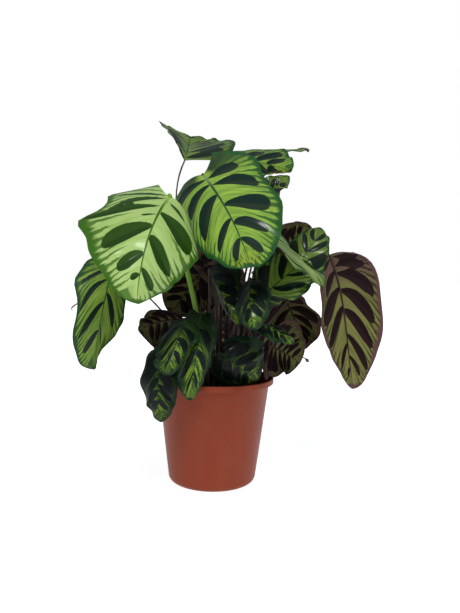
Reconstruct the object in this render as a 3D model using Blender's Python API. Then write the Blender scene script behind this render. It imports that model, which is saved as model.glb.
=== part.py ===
# A peacock plant (calathea) in a moulded nursery pot.
#
# Every leaf is one solid: a long stalk that stands in its own hole in the soil, and a patterned
# blade on top of it. A leaf is described by where its stalk leaves the soil, where the stalk meets
# the blade, where the blade ends, and the way its upper face looks. One surface formula then bends
# a flat blade onto that rib. Z is up, the pot's base is on Z = 0 and its axis is the Z axis.
# The table of leaves is in millimetres, and the scene is in metres.

import math
import random
from dataclasses import dataclass

import bmesh
import bpy
import numpy as np

MM = 0.001

# The pot, in metres
POT_HEIGHT = 123 * MM
RIM_RADIUS = 70 * MM
RIM_BAND = 6.5 * MM
RIM_STEP = 5 * MM
BASE_RADIUS = 51.3 * MM
BASE_ROUND = 8 * MM
POT_WALL = 1.8 * MM
FLOOR_LIFT = 3 * MM
FOOT_RING = 4 * MM
HUB_RADIUS = 14 * MM
DRAIN_HOLES = 8
DRAIN_RADIUS = 4 * MM
DRAIN_CIRCLE = 27 * MM
POT_SIDES = 44

# The soil, in metres
SOIL_LEVEL = 106 * MM
SOIL_CROWN = 5 * MM
SOIL_LUMP = 1.2 * MM
SOIL_SIDES = 32
SOIL_RINGS = 5
FIT_GAP = 0.3 * MM

# Leaves, in metres
BLADE_THICKNESS = 0.8 * MM
ROOT_DEPTH = 32 * MM
STALK_FOOT_RADIUS = 2.6 * MM
STALK_TOP_RADIUS = 1.3 * MM
STALK_STRAIGHT = 9 * MM
STALK_POINTS = 7
BLADE_ROWS = 9
BLADE_COLUMNS = 6

# Mean colours of the upper faces, linear: a young leaf is pale and the shaded low ones nearly black
LEAF_TONES = {
    "young": (0.32, 0.47, 0.13),
    "mature": (0.11, 0.23, 0.05),
    "dark": (0.035, 0.085, 0.025),
    "purple": (0.075, 0.04, 0.035),
}


# Leaf shapes
@dataclass(frozen=True)
class Leaf:
    """One leaf, in millimetres. Left and right are as seen on the upper face with the tip pointing
    away. Each half has a fold, how far it rises from level at the rib in degrees, and a curl, how
    far it goes on turning up to its margin. A heel is how far that half's base margin reaches back
    past the stalk, as a share of the length. Swells are the shares by which a margin stands out from
    the usual outline, or in, at five places from the stalk to the tip."""

    name: str
    foot: tuple  # x, y where the stalk leaves the soil
    base: tuple  # x, y, z where the stalk meets the blade
    tip: tuple  # x, y, z of the blade's point
    face: tuple  # the way the upper face looks
    width: float
    left: tuple = (-6, -25)
    right: tuple = (-6, -25)
    arch: tuple = (0.14, 0.16)  # how far the rib bows towards the upper face, early and late
    bow: float = 0.0  # how far the rib bows to the right, as a share of its length
    twist: float = 0.0  # degrees that the tip end turns about the rib
    wave: float = 2.0  # height of the margin's waves
    heels: tuple = (0.08, 0.08)  # left and right
    left_swell: tuple = (0, 0, 0, 0, 0)
    right_swell: tuple = (0, 0, 0, 0, 0)
    arrive: tuple = ()  # the way the stalk runs where it meets the blade, if not outwards and up
    tone: str = "mature"  # young, mature or dark, or purple where mostly the underside shows


SWELL_PLACES = (-0.05, 0.2, 0.45, 0.7, 0.92)  # shares of the rib's length
SWELL_SPREAD = 0.13

LEAVES = [
    Leaf("leaf_front_high", (4, -12), (-15, -61, 347), (35, -161, 250), (-0.05, -0.68, 0.73), 120,
         left=(12, -25), right=(-6, -72), arch=(0.03, 0.06), bow=-0.03, twist=19, heels=(0.23, 0.1),
         left_swell=(0.2, -0.02, 0.1, 0.05, 0.05), right_swell=(0.3, -0.1, -0.15, -0.1, -0.05)),
    Leaf("leaf_front_left_high", (-14, -14), (-43, -123, 316), (-63, -187, 216), (-0.12, -0.7, 0.7), 110,
         left=(-35, -44), right=(6, -20), arch=(0.17, 0.25), bow=-0.01, twist=13, heels=(0.05, 0.29),
         left_swell=(-0.3, 0.15, 0.1, 0.2, 0.55), right_swell=(0.25, 0, 0.4, 0.25, 0.1), tone="young"),
    Leaf("leaf_top_left", (-8, 2), (-38, -12, 370), (-41, 125, 427), (0.28, -0.38, 0.88), 108,
         left=(36, -22), right=(23, 0), arch=(0.12, -0.11), twist=6, arrive=(0.4, 0.1, 0.9),
         heels=(-0.19, 0.01), left_swell=(0, -0.45, -0.5, 0, 0), right_swell=(0.6, 0.1, -0.1, 0, -0.1)),
    Leaf("leaf_top_right", (6, 10), (8, 88, 401), (113, 72, 402), (0, -0.25, 0.97), 76,
         left=(-3, 0), right=(-1, 0), arch=(0.01, 0.01), wave=1),
    Leaf("leaf_top_right_low", (14, 16), (14, 34, 380), (83, -15, 361), (-0.12, -0.79, 0.61), 62,
         left=(-4, -12), right=(-40, -20), arch=(0.1, 0.05), bow=0.02, left_swell=(0, 0, 0, 0.45, 0.4),
         right_swell=(0, 0, 0, -0.6, -0.8), tone="dark"),
    Leaf("leaf_right_peek", (20, 26), (42, 50, 325), (87, 57, 366), (0.4, -0.9, 0.15), 39,
         left=(-12, -27), right=(-8, -26), bow=-0.03, left_swell=(0, 0, 0, 0.15, -0.25),
         right_swell=(0, 0, 0, -0.5, 0.25), tone="dark"),
    Leaf("leaf_left_hanging", (-30, -2), (-112, -52, 245), (-126, -67, 138), (-0.06, -0.99, 0.12), 54,
         left=(-37, -35), right=(27, -15), arch=(0.16, 0.3), bow=-0.04, twist=11,
         arrive=(-0.75, -0.45, 0.5), heels=(0, 0.11), left_swell=(0, 0.15, 0.25, 0.2, -0.7),
         right_swell=(0.3, 0.3, 0, 0.2, 0.4)),
    Leaf("leaf_right_hanging", (36, 6), (129, -12, 267), (166, 9, 109), (-0.24, 0.97, -0.01), 104,
         left=(-30, -16), right=(0, -6), arch=(0.14, 0.27), bow=0.13, twist=-5, heels=(0, -0.04),
         left_swell=(-0.1, -0.12, 0.06, 0.08, -0.05), right_swell=(-0.4, 0, -0.05, 0.02, -0.12),
         tone="purple"),
    Leaf("leaf_right_high", (20, 2), (84, -50, 243), (115, -34, 296), (-0.14, -0.96, 0.22), 54,
         left=(-6, -25), right=(4, -21), bow=0.04, right_swell=(0, 0, -0.1, -0.1, 0)),
    Leaf("leaf_right_behind", (26, 14), (70, 5, 263), (112, 22, 301), (0, 0.9, 0.4), 60, tone="purple"),
    Leaf("leaf_right_edge", (22, -10), (43, -68, 296), (108, -106, 232), (0.5, -0.28, 0.82), 68,
         left=(4, 0), right=(5, -6), arch=(-0.04, 0.07), left_swell=(0.1, 0.05, -0.4, -0.6, 0.35),
         right_swell=(0, 0, -0.5, 0.1, -0.15)),
    Leaf("leaf_right_front", (32, -4), (53, -62, 220), (100, -67, 260), (-0.18, -0.91, 0.38), 62,
         left=(0, -22), right=(0, -23), heels=(0.12, 0), left_swell=(0.1, 0.25, 0, 0.25, 0),
         right_swell=(-0.1, -0.4, -0.1, 0.05, 0.05), tone="dark"),
    Leaf("leaf_right_low", (40, 16), (80, 23, 216), (102, 39, 149), (0.42, 0.87, 0.23), 78, bow=0.08,
         right_swell=(0.1, -0.25, 0.1, 0.15, 0), tone="purple"),
    Leaf("leaf_right_rim", (44, -4), (62, -14, 162), (101, -2, 141), (-0.16, 0.95, -0.27), 78, bow=0.06,
         heels=(0.3, 0.08), left_swell=(0.15, -0.1, -0.05, -0.15, 0.35), right_swell=(0, 0, 0, 0, 0.15),
         tone="purple"),
    Leaf("leaf_centre_left", (-6, -22), (-7, -42, 248), (26, -92, 190), (-0.36, -0.73, 0.58), 62,
         left=(-5, -15), right=(-60, -33), left_swell=(0, 0, -0.2, -0.2, 0), tone="dark"),
    Leaf("leaf_centre", (12, -18), (37, -92, 239), (40, -138, 191), (-0.32, -0.86, 0.41), 50,
         left=(-27, -23), right=(-25, -21), left_swell=(0, -0.05, -0.15, 0.05, 0.1),
         right_swell=(0.05, -0.15, 0, 0, 0.05), tone="dark"),
    Leaf("leaf_centre_small", (34, -16), (45, -64, 188), (81, -108, 175), (0.02, -0.65, 0.76), 27,
         arch=(0.2, 0.14), arrive=(0.3, -0.9, -0.3), left_swell=(0, 0.1, 0, -0.25, 0),
         right_swell=(0, -0.25, 0, 0.2, -0.1), tone="dark"),
    Leaf("leaf_left_low_behind", (-30, -14), (-35, -33, 191), (-86, -26, 177), (0, 0.79, 0.61), 74,
         left=(-13, -28), right=(-13, -27), right_swell=(0, 0, 0, 0.1, 0.35), tone="purple"),
    Leaf("leaf_left_front", (-34, -32), (-28, -84, 195), (-42, -131, 145), (-0.2, -0.84, 0.5), 45,
         left=(-22, -32), right=(-2, -23), bow=-0.03, arrive=(0.8, -0.5, 0.4),
         left_swell=(0, 0, -0.35, -0.3, 0), right_swell=(0, -0.25, -0.1, 0.1, 0.65), tone="dark"),
    Leaf("leaf_front_low", (-6, -36), (-14, -64, 200), (-21, -103, 115), (0.1, -0.91, 0.4), 47,
         left=(-12, -28), right=(-4, -24), left_swell=(0.1, 0, -0.15, -0.2, -0.15),
         right_swell=(-0.2, -0.3, 0, -0.05, 0.2), tone="dark"),
    Leaf("leaf_left_low", (-40, -22), (-53, -69, 159), (-53, -83, 87), (-0.33, -0.92, 0.21), 48,
         left=(-2, -23), right=(-4, -24), left_swell=(0, 0, -0.05, 0, 0.15),
         right_swell=(0.2, -0.1, 0.15, -0.05, -0.15), tone="dark"),
    Leaf("leaf_soil_front", (18, -32), (6, -46, 157), (50, -46, 127), (-0.2, -0.95, 0.1), 60,
         left_swell=(0, 0.1, 0.4, 0.65, 0.6), tone="dark"),
    Leaf("leaf_left_behind", (-22, 8), (-14, 12, 253), (-53, 16, 193), (-0.05, 0.97, 0.1), 76,
         arch=(0.03, 0.04), tone="purple"),
    Leaf("leaf_back_high", (-6, 18), (-40, 58, 325), (-64, 138, 243), (-0.1, 0.75, 0.65), 104),
    Leaf("leaf_back_left_high", (-16, 24), (-52, 46, 293), (-134, 88, 261), (-0.4, 0.4, 0.8), 86, twist=12),
    Leaf("leaf_back_right_high", (30, 28), (58, 52, 301), (106, 128, 229), (0.35, 0.65, 0.65), 90),
    Leaf("leaf_back_left_low", (-28, 34), (-44, 60, 185), (-72, 114, 127), (-0.5, 0.7, 0.5), 74, bow=0.06,
         tone="dark"),
    Leaf("leaf_back_right_low", (26, 40), (38, 64, 193), (88, 118, 123), (0.5, 0.7, 0.5), 80, tone="dark"),
    Leaf("leaf_back_low", (-4, 40), (-2, 60, 187), (6, 120, 109), (0.1, 0.85, 0.5), 74, tone="dark"),
    Leaf("leaf_back_middle", (6, 26), (-2, 56, 265), (0, 116, 170), (0, 0.8, 0.6), 80, arch=(0.1, 0.1),
         tone="dark"),
    Leaf("leaf_back_right_middle", (42, 28), (62, 40, 249), (104, 112, 211), (0.5, 0.45, 0.7), 64,
         tone="dark"),
    Leaf("leaf_back_left_middle", (-38, 34), (-60, 62, 257), (-104, 128, 211), (-0.5, 0.5, 0.7), 84,
         tone="dark"),
]


def unit(vector):
    return vector / np.linalg.norm(vector, axis=-1, keepdims=True)


def outline(s, heel):
    """Half width of the blade at s along the rib, as a share of the widest half."""
    share = np.clip((s + heel) / (1 + heel), 0, 1)
    return np.abs(np.sin(np.pi * (0.06 + 0.94 * share**0.75))) ** 0.5


def sweep(u, heel):
    """How far towards the tip a side vein that leaves the rib at u has run at the margin, as a share
    of the length. The first veins run back past the stalk and the later ones lean forward."""
    ease = np.clip(u / 0.45, 0, 1)
    ease = ease * ease * (3 - 2 * ease)
    return (1 - u) * ((0.54 + heel) * ease - heel)


def rib_frame(leaf, s):
    """Points along the rib at s, with the directions to the right and out of the upper face."""
    base, tip = np.array(leaf.base, float), np.array(leaf.tip, float)
    chord = tip - base
    length = np.linalg.norm(chord)
    face = np.array(leaf.face, float)
    out = unit(face - chord * (face @ chord) / length**2)
    side = unit(np.cross(chord, out))
    early = base + chord / 3 + (out * leaf.arch[0] + side * leaf.bow) * length
    late = base + chord * 2 / 3 + (out * leaf.arch[1] + side * leaf.bow) * length
    s = s[..., None]
    point = (1 - s) ** 3 * base + 3 * s * (1 - s) ** 2 * early + 3 * s**2 * (1 - s) * late + s**3 * tip
    along = 3 * (1 - s) ** 2 * (early - base) + 6 * s * (1 - s) * (late - early) + 3 * s**2 * (tip - late)
    along = unit(along)
    right = unit(side - along * (along @ side)[..., None])
    up = np.cross(right, along)
    turn = np.radians(leaf.twist) * s
    return point, right * np.cos(turn) + up * np.sin(turn), up * np.cos(turn) - right * np.sin(turn)


def blade_points(leaf, u, v):
    """Points of the blade in millimetres. u runs from the stalk to the tip and v from the left
    margin at -1 over the rib to the right margin at 1."""
    across = np.abs(v)
    heel = np.where(v < 0, leaf.heels[0], leaf.heels[1])
    margin = u + sweep(u, heel)
    point, right, up = rib_frame(leaf, u + sweep(u, heel) * across**1.4)
    fold = np.radians(np.where(v < 0, leaf.left[0], leaf.right[0]))
    curl = np.radians(np.where(v < 0, leaf.left[1], leaf.right[1]))
    curl = np.where(np.abs(curl) < 1e-3, 1e-3, curl)
    bells = np.exp(-(((margin[..., None] - SWELL_PLACES) / SWELL_SPREAD) ** 2))
    swell = np.where(v < 0, bells @ leaf.left_swell, bells @ leaf.right_swell)
    half = leaf.width / 2 * outline(margin, heel) * (1 + swell * across**2)
    out = half * (np.sin(fold + curl * across) - np.sin(fold)) / curl
    lift = half * (np.cos(fold) - np.cos(fold + curl * across)) / curl
    phase = random.Random(leaf.name).uniform(0, 2 * math.pi)
    waves = np.sin(2 * math.pi * 2.6 * u + phase + np.sign(v)) * np.sin(math.pi * np.clip(u, 0, 1)) ** 0.5
    lift = lift + leaf.wave * across**2 * waves
    return point + right * (np.sign(v) * out)[..., None] + up * lift[..., None]


def stalk_points(leaf, count):
    """The stalk's centre line in millimetres, from its buried end to the blade."""
    foot = np.array([*leaf.foot, (SOIL_LEVEL + SOIL_CROWN) / MM])
    buried = foot - [0, 0, (ROOT_DEPTH + SOIL_CROWN) / MM]
    start = foot + [0, 0, (STALK_STRAIGHT - SOIL_CROWN) / MM]
    base = np.array(leaf.base, float)
    reach = np.linalg.norm(base - start)
    level = base - start
    level[2] = 0
    way = np.array(leaf.arrive, float) if leaf.arrive else unit(level) * 0.5 + [0, 0, 0.87]
    first = start + [0, 0, 0.4 * reach]
    last = base - unit(way) * 0.3 * reach
    t = np.linspace(0, 1, count)[:, None]
    curve = (1 - t) ** 3 * start + 3 * t * (1 - t) ** 2 * first + 3 * t**2 * (1 - t) * last + t**3 * base
    return np.vstack([buried, curve])
# Leaf shapes end


def clear_scene():
    for obj in list(bpy.data.objects):
        bpy.data.objects.remove(obj, do_unlink=True)


def material(name, colour, roughness, metallic=0.0):
    made = bpy.data.materials.new(name)
    made.use_nodes = True
    shader = made.node_tree.nodes["Principled BSDF"]
    shader.inputs["Base Color"].default_value = (*colour, 1)
    shader.inputs["Roughness"].default_value = roughness
    shader.inputs["Metallic"].default_value = metallic
    return made


def add_object(name, mesh, finish):
    obj = bpy.data.objects.new(name, mesh)
    obj.data.materials.append(finish)
    bpy.context.scene.collection.objects.link(obj)
    return obj


def mesh_of(name, shape):
    mesh = bpy.data.meshes.new(name)
    shape.to_mesh(mesh)
    shape.free()
    return mesh


def smooth(obj, degrees):
    """Shades a round piece smooth, with its sharper edges kept."""
    obj.data.shade_smooth()
    obj.data.set_sharp_from_angle(angle=math.radians(degrees))


def apply_modifiers(obj):
    """Bakes an object's modifiers into a mesh of its own."""
    graph = bpy.context.evaluated_depsgraph_get()
    obj.data = bpy.data.meshes.new_from_object(obj.evaluated_get(graph))
    obj.modifiers.clear()


def boolean(obj, operation, others):
    """Applies one Boolean with the other objects, which are then removed."""
    group = bpy.data.collections.new(obj.name + "_others")
    bpy.context.scene.collection.children.link(group)
    for other in others:
        group.objects.link(other)
    cut = obj.modifiers.new(operation.lower(), "BOOLEAN")
    cut.operation = operation
    cut.operand_type = "COLLECTION"
    cut.collection = group
    apply_modifiers(obj)
    for other in others:
        bpy.data.objects.remove(other)
    bpy.data.collections.remove(group)


def turned(profile, sides):
    """A closed body turned about Z from a closed outline of (radius, height) points. A point at
    radius 0 becomes one vertex on the axis."""
    shape = bmesh.new()
    rings = []
    for radius, height in profile:
        if radius == 0:
            rings.append([shape.verts.new((0, 0, height))] * sides)
            continue
        angles = [2 * math.pi * i / sides for i in range(sides)]
        rings.append([shape.verts.new((radius * math.cos(a), radius * math.sin(a), height)) for a in angles])
    for lower, upper in zip(rings, rings[1:] + rings[:1]):
        for i in range(sides):
            corners = [lower[i], lower[(i + 1) % sides], upper[(i + 1) % sides], upper[i]]
            corners = list(dict.fromkeys(corners))
            if len(corners) > 2:
                shape.faces.new(corners)
    bmesh.ops.recalc_face_normals(shape, faces=shape.faces)
    return shape


def cylinder(name, radius, bottom, top, place, sides):
    shape = bmesh.new()
    bmesh.ops.create_cone(
        shape, cap_ends=True, segments=sides, radius1=radius, radius2=radius, depth=top - bottom
    )
    bmesh.ops.translate(shape, verts=shape.verts, vec=(*place, (top + bottom) / 2))
    obj = bpy.data.objects.new(name, mesh_of(name, shape))
    bpy.context.scene.collection.objects.link(obj)
    return obj


def wall_radius(height):
    """Outer radius of the pot's tapered wall at a height."""
    top = POT_HEIGHT - RIM_BAND
    share = (height - BASE_ROUND) / (top - BASE_ROUND)
    return BASE_RADIUS + (RIM_RADIUS - RIM_STEP - BASE_RADIUS) * share


def corner(centre, radius, start, end, steps):
    """Points of a round corner, with the angles in degrees."""
    angles = [math.radians(start + (end - start) * i / steps) for i in range(steps + 1)]
    return [(centre[0] + radius * math.cos(a), centre[1] + radius * math.sin(a)) for a in angles]


def pot_profile():
    """The pot's section: a hub and a foot ring at Z = 0 with a raised floor between them, a tapered
    wall, and a rim that steps out and stands up as a band."""
    step_at = POT_HEIGHT - RIM_BAND
    foot = BASE_RADIUS - BASE_ROUND
    inner_round = BASE_ROUND - POT_WALL
    band = RIM_RADIUS - POT_WALL
    outside = [
        (0, 0),
        (HUB_RADIUS, 0),
        (HUB_RADIUS + FLOOR_LIFT, FLOOR_LIFT),
        (foot - FOOT_RING - FLOOR_LIFT, FLOOR_LIFT),
        (foot - FOOT_RING, 0),
        *corner((foot, BASE_ROUND), BASE_ROUND, -90, 0, 3),
        (wall_radius(step_at), step_at),
        *corner((RIM_RADIUS - 1 * MM, step_at + 1 * MM), 1 * MM, -90, 0, 1),
        *corner((RIM_RADIUS - POT_WALL / 2, POT_HEIGHT - POT_WALL / 2), POT_WALL / 2, 0, 180, 3),
    ]
    inside = [
        (band, step_at + POT_WALL),
        (wall_radius(step_at) - POT_WALL, step_at + POT_WALL / 2),
        *corner((foot, FLOOR_LIFT + POT_WALL + inner_round), inner_round, 0, -90, 2),
        (0, FLOOR_LIFT + POT_WALL),
    ]
    return outside + inside


def make_pot(finish):
    pot = add_object("pot", mesh_of("pot", turned(pot_profile(), POT_SIDES)), finish)
    drains = []
    for i in range(DRAIN_HOLES):
        angle = 2 * math.pi * (i + 0.5) / DRAIN_HOLES
        place = (DRAIN_CIRCLE * math.cos(angle), DRAIN_CIRCLE * math.sin(angle))
        drains.append(cylinder(f"drain_{i}", DRAIN_RADIUS, -1 * MM, 10 * MM, place, 10))
    boolean(pot, "DIFFERENCE", drains)
    smooth(pot, 35)


def soil_height(x, y):
    """Height of the soil's crowned and lumpy surface."""
    radius = math.hypot(x, y)
    rim = wall_radius(SOIL_LEVEL)
    crown = SOIL_CROWN * (1 - (radius / rim) ** 2)
    lumps = math.sin(x / (5.1 * MM)) * math.cos(y / (4.3 * MM)) + 0.6 * math.sin((x + y) / (2.9 * MM))
    return SOIL_LEVEL + crown + SOIL_LUMP * lumps * 0.5


def make_soil(finish):
    """The soil fills the pot up to its level, a fit gap away from the wall."""
    inner = BASE_RADIUS - BASE_ROUND
    floor = FLOOR_LIFT + POT_WALL + FIT_GAP
    round_radius = BASE_ROUND - POT_WALL
    centre = (inner - FIT_GAP, floor + round_radius)
    profile = [(0, floor), *corner(centre, round_radius, -90, 0, 2)]
    edge = wall_radius(SOIL_LEVEL) - POT_WALL - 2 * FIT_GAP
    profile += [(edge * (SOIL_RINGS - i) / SOIL_RINGS, SOIL_LEVEL) for i in range(SOIL_RINGS)]
    profile.append((0, SOIL_LEVEL))
    shape = turned(profile, SOIL_SIDES)
    for vertex in shape.verts:
        x, y, z = vertex.co
        if z > SOIL_LEVEL - MM and math.hypot(x, y) < edge - MM:
            vertex.co.z = soil_height(x, y)
    bmesh.ops.triangulate(shape, faces=shape.faces)
    soil = add_object("soil", mesh_of("soil", shape), finish)
    sides = 6
    hole = (STALK_FOOT_RADIUS + FIT_GAP) / math.cos(math.pi / sides)
    bottom = SOIL_LEVEL - ROOT_DEPTH - FIT_GAP
    holes = []
    for leaf in LEAVES:
        place = (leaf.foot[0] * MM, leaf.foot[1] * MM)
        holes.append(cylinder(leaf.name + "_hole", hole, bottom, POT_HEIGHT, place, sides))
    boolean(soil, "DIFFERENCE", holes)


def blade_mesh(leaf):
    """The blade's middle surface as a grid of triangles, which meets in one point at the tip."""
    shape = bmesh.new()
    rows = [i / BLADE_ROWS for i in range(BLADE_ROWS)]
    columns = [2 * j / BLADE_COLUMNS - 1 for j in range(BLADE_COLUMNS + 1)]
    u, v = np.meshgrid(rows, columns, indexing="ij")
    points = blade_points(leaf, u, v) * MM
    grid = [[shape.verts.new(point) for point in row] for row in points]
    for lower, upper in zip(grid, grid[1:]):
        for j in range(BLADE_COLUMNS):
            shape.faces.new((lower[j], lower[j + 1], upper[j + 1], upper[j]))
    point = shape.verts.new(blade_points(leaf, np.array([1.0]), np.array([0.0]))[0] * MM)
    for j in range(BLADE_COLUMNS):
        shape.faces.new((grid[-1][j], grid[-1][j + 1], point))
    bmesh.ops.triangulate(shape, faces=shape.faces)
    return mesh_of(leaf.name, shape)


def make_stalk(leaf):
    """The stalk as a round tube that thins from the soil to the blade."""
    curve = bpy.data.curves.new(leaf.name + "_stalk", "CURVE")
    curve.dimensions = "3D"
    curve.bevel_depth = STALK_FOOT_RADIUS
    curve.bevel_resolution = 1
    curve.use_fill_caps = True
    points = stalk_points(leaf, STALK_POINTS) * MM
    spline = curve.splines.new("POLY")
    spline.points.add(len(points) - 1)
    for i, point in enumerate(points):
        share = max(0, i - 1) / (len(points) - 2)
        spline.points[i].co = (*point, 1)
        spline.points[i].radius = 1 + (STALK_TOP_RADIUS / STALK_FOOT_RADIUS - 1) * share**0.7
    stalk = bpy.data.objects.new(leaf.name + "_stalk", curve)
    bpy.context.scene.collection.objects.link(stalk)
    graph = bpy.context.evaluated_depsgraph_get()
    mesh = bpy.data.meshes.new_from_object(stalk.evaluated_get(graph))
    bpy.data.objects.remove(stalk)
    shape = bmesh.new()
    shape.from_mesh(mesh)
    bmesh.ops.remove_doubles(shape, verts=shape.verts, dist=1e-6)
    bmesh.ops.recalc_face_normals(shape, faces=shape.faces)
    joined = bpy.data.objects.new(leaf.name + "_stalk", mesh_of(leaf.name + "_stalk", shape))
    bpy.context.scene.collection.objects.link(joined)
    return joined


def make_leaf(leaf, finish):
    blade = add_object(leaf.name, blade_mesh(leaf), finish)
    thicken = blade.modifiers.new("thickness", "SOLIDIFY")
    thicken.thickness = BLADE_THICKNESS
    thicken.offset = 0
    apply_modifiers(blade)
    boolean(blade, "UNION", [make_stalk(leaf)])
    smooth(blade, 40)


def main():
    clear_scene()
    make_pot(material("moulded terracotta plastic", (0.24, 0.055, 0.03), 0.45))
    make_soil(material("potting soil", (0.03, 0.02, 0.014), 0.95))
    for leaf in LEAVES:
        make_leaf(leaf, material(leaf.name + " tissue", LEAF_TONES[leaf.tone], 0.4))


main()
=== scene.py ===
# %% [markdown]
# # A potted calathea
#
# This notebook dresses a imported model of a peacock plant: patterned blades on long stalks, in a
# moulded nursery pot. Its solids already have the right places and sizes, so the model is loaded as a
# frame and each solid gives way to a finer piece that keeps its form. Lengths are in metres, but the
# leaves are listed and worked out in millimetres. Z is up and the pot stands on Z = 0.

# %% Load the frame
import math
import random
from dataclasses import dataclass

import bmesh
import bpy
import numpy as np
from mathutils import Matrix, Vector


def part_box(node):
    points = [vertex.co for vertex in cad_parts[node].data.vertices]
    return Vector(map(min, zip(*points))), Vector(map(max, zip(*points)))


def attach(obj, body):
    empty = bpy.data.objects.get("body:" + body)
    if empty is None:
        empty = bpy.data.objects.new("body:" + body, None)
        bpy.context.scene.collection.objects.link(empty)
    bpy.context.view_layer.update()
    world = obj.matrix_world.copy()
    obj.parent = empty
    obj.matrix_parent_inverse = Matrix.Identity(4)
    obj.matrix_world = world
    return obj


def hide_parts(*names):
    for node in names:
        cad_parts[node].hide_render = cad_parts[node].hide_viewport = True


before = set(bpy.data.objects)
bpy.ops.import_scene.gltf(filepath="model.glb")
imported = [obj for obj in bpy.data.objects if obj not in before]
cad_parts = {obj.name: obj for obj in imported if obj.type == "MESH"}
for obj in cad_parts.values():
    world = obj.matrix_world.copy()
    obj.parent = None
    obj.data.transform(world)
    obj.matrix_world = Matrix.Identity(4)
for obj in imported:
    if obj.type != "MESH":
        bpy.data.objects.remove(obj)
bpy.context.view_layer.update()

MM = 0.001

# %% [markdown]
# ## The camera
#
# The photograph was taken a little above the blades' middle with a normal lens. Its place was worked
# out from the pot: how wide the rim and the base look gives the distance, and how round the rim looks
# gives the height. A slight roll makes the plant lean to the right, as it does in the picture.

# %% Camera
PHOTO_LONG_SIDE = 613
FOCAL_PIXELS = 600
CAMERA_PLACE = (0.017, -0.700, 0.245)
CAMERA_PITCH = math.radians(3.3)
CAMERA_ROLL = math.radians(1.3)

bpy.ops.object.select_all(action="DESELECT")
bpy.ops.object.camera_add(location=CAMERA_PLACE)
camera = bpy.context.object
camera.rotation_mode = "QUATERNION"
tilt = Matrix.Rotation(math.radians(90) - CAMERA_PITCH, 3, "X") @ Matrix.Rotation(CAMERA_ROLL, 3, "Z")
camera.rotation_quaternion = tilt.to_quaternion()
camera.data.sensor_width = 36
camera.data.lens = camera.data.sensor_width * FOCAL_PIXELS / PHOTO_LONG_SIDE
bpy.context.scene.camera = camera
print("lens", round(camera.data.lens, 1), "mm")

# %% [markdown]
# ## Colours and nodes
#
# Colours are noted as sRGB hex values, as a picture shows them, and the shader wants linear ones, so
# one function turns them. Another adds a node with its settings and feeds its inputs. An input is a
# number, a colour, or the node or socket that it is linked to.

# %% Colours and nodes
def linear(hex_colour):
    """The linear RGBA of an sRGB colour such as #8a4630."""
    channels = [int(hex_colour[i:i + 2], 16) / 255 for i in (1, 3, 5)]
    return (*[c / 12.92 if c <= 0.04045 else ((c + 0.055) / 1.055) ** 2.4 for c in channels], 1)


def feed(tree, node, inputs):
    """Inputs are a dict by name, or a list in the node's own order."""
    for name, value in inputs.items() if isinstance(inputs, dict) else enumerate(inputs):
        if isinstance(value, bpy.types.Node):
            value = value.outputs[0]
        if isinstance(value, bpy.types.NodeSocket):
            tree.links.new(value, node.inputs[name])
        else:
            node.inputs[name].default_value = value


def add_node(tree, kind, inputs=(), **settings):
    node = tree.nodes.new("ShaderNode" + kind)
    for name, value in settings.items():
        setattr(node, name, value)
    feed(tree, node, inputs)
    return node


def painted(tree, under, over, mask, strength=1.0):
    """One colour laid over another where the mask is, as strong as it says."""
    under, over = (linear(colour) if isinstance(colour, str) else colour for colour in (under, over))
    cover = add_node(tree, "Math", [mask, strength], operation="MULTIPLY")
    return add_node(tree, "Mix", {"Factor": cover, "A": under, "B": over}, data_type="RGBA").outputs[2]


def new_material(name):
    """An empty material with its node tree, its shader and the Object coordinates."""
    made = bpy.data.materials.new(name)
    made.use_nodes = True
    tree = made.node_tree
    return made, tree, tree.nodes["Principled BSDF"], add_node(tree, "TexCoord").outputs["Object"]


print("mid grey #808080 is", round(linear("#808080")[0], 3), "in linear light")

# %% [markdown]
# ## The studio
#
# The plant stands on a light table under soft light, as things are photographed on pure white. The
# table's own glow takes the shadow off it. Two suns with wide discs light the plant like large
# diffusers that are far away, so the floor is evenly bright to the horizon: a strong one from above and
# in front, and a weak one from the right. A small lamp near the camera makes the small bright
# highlights on the wax. What the camera sees behind the plant is white, while the light that the world
# sends into the leaves is dimmer, or the depths between the stalks would be grey. The Standard view
# shows the colours as they are. A filmic one would grey the floor and dull the greens.

# %% Studio
FLOOR_SIZE = 30.0
FLOOR_GRAIN = 2.5 * MM
TABLE_GLOW = 0.8
WORLD_LIGHT = 0.42


def make_floor():
    bpy.ops.mesh.primitive_plane_add(size=FLOOR_SIZE)
    floor = bpy.context.object
    floor.name = "floor"
    made, tree, shader, place = new_material("opal acrylic of a light table")
    fibre = add_node(tree, "TexNoise", {"Vector": place, "Scale": 1 / FLOOR_GRAIN, "Detail": 2})
    feed(tree, shader, {"Base Color": painted(tree, "#c4c4c4", "#c0c0c0", fibre), "Roughness": 0.9,
                        "Emission Color": linear("#ffffff"), "Emission Strength": TABLE_GLOW})
    floor.data.materials.append(made)


def make_light(kind, name, place, way, **settings):
    """A light that shines along a direction. A sun's angle is the width of its disc."""
    bpy.ops.object.light_add(type=kind, location=place)
    light = bpy.context.object
    light.name = name
    light.rotation_mode = "QUATERNION"
    light.rotation_quaternion = Vector(way).to_track_quat("-Z", "Y")
    for setting, value in settings.items():
        setattr(light.data, setting, value)


def make_world():
    world = bpy.data.worlds.new("pale studio")
    world.use_nodes = True
    tree = world.node_tree
    seen = add_node(tree, "LightPath").outputs["Is Camera Ray"]
    power = add_node(tree, "MapRange", {"Value": seen, "To Min": WORLD_LIGHT, "To Max": 1})
    feed(tree, tree.nodes["Background"],
         {"Color": painted(tree, "#eef5ff", "#ffffff", seen), "Strength": power})
    bpy.context.scene.world = world


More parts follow.
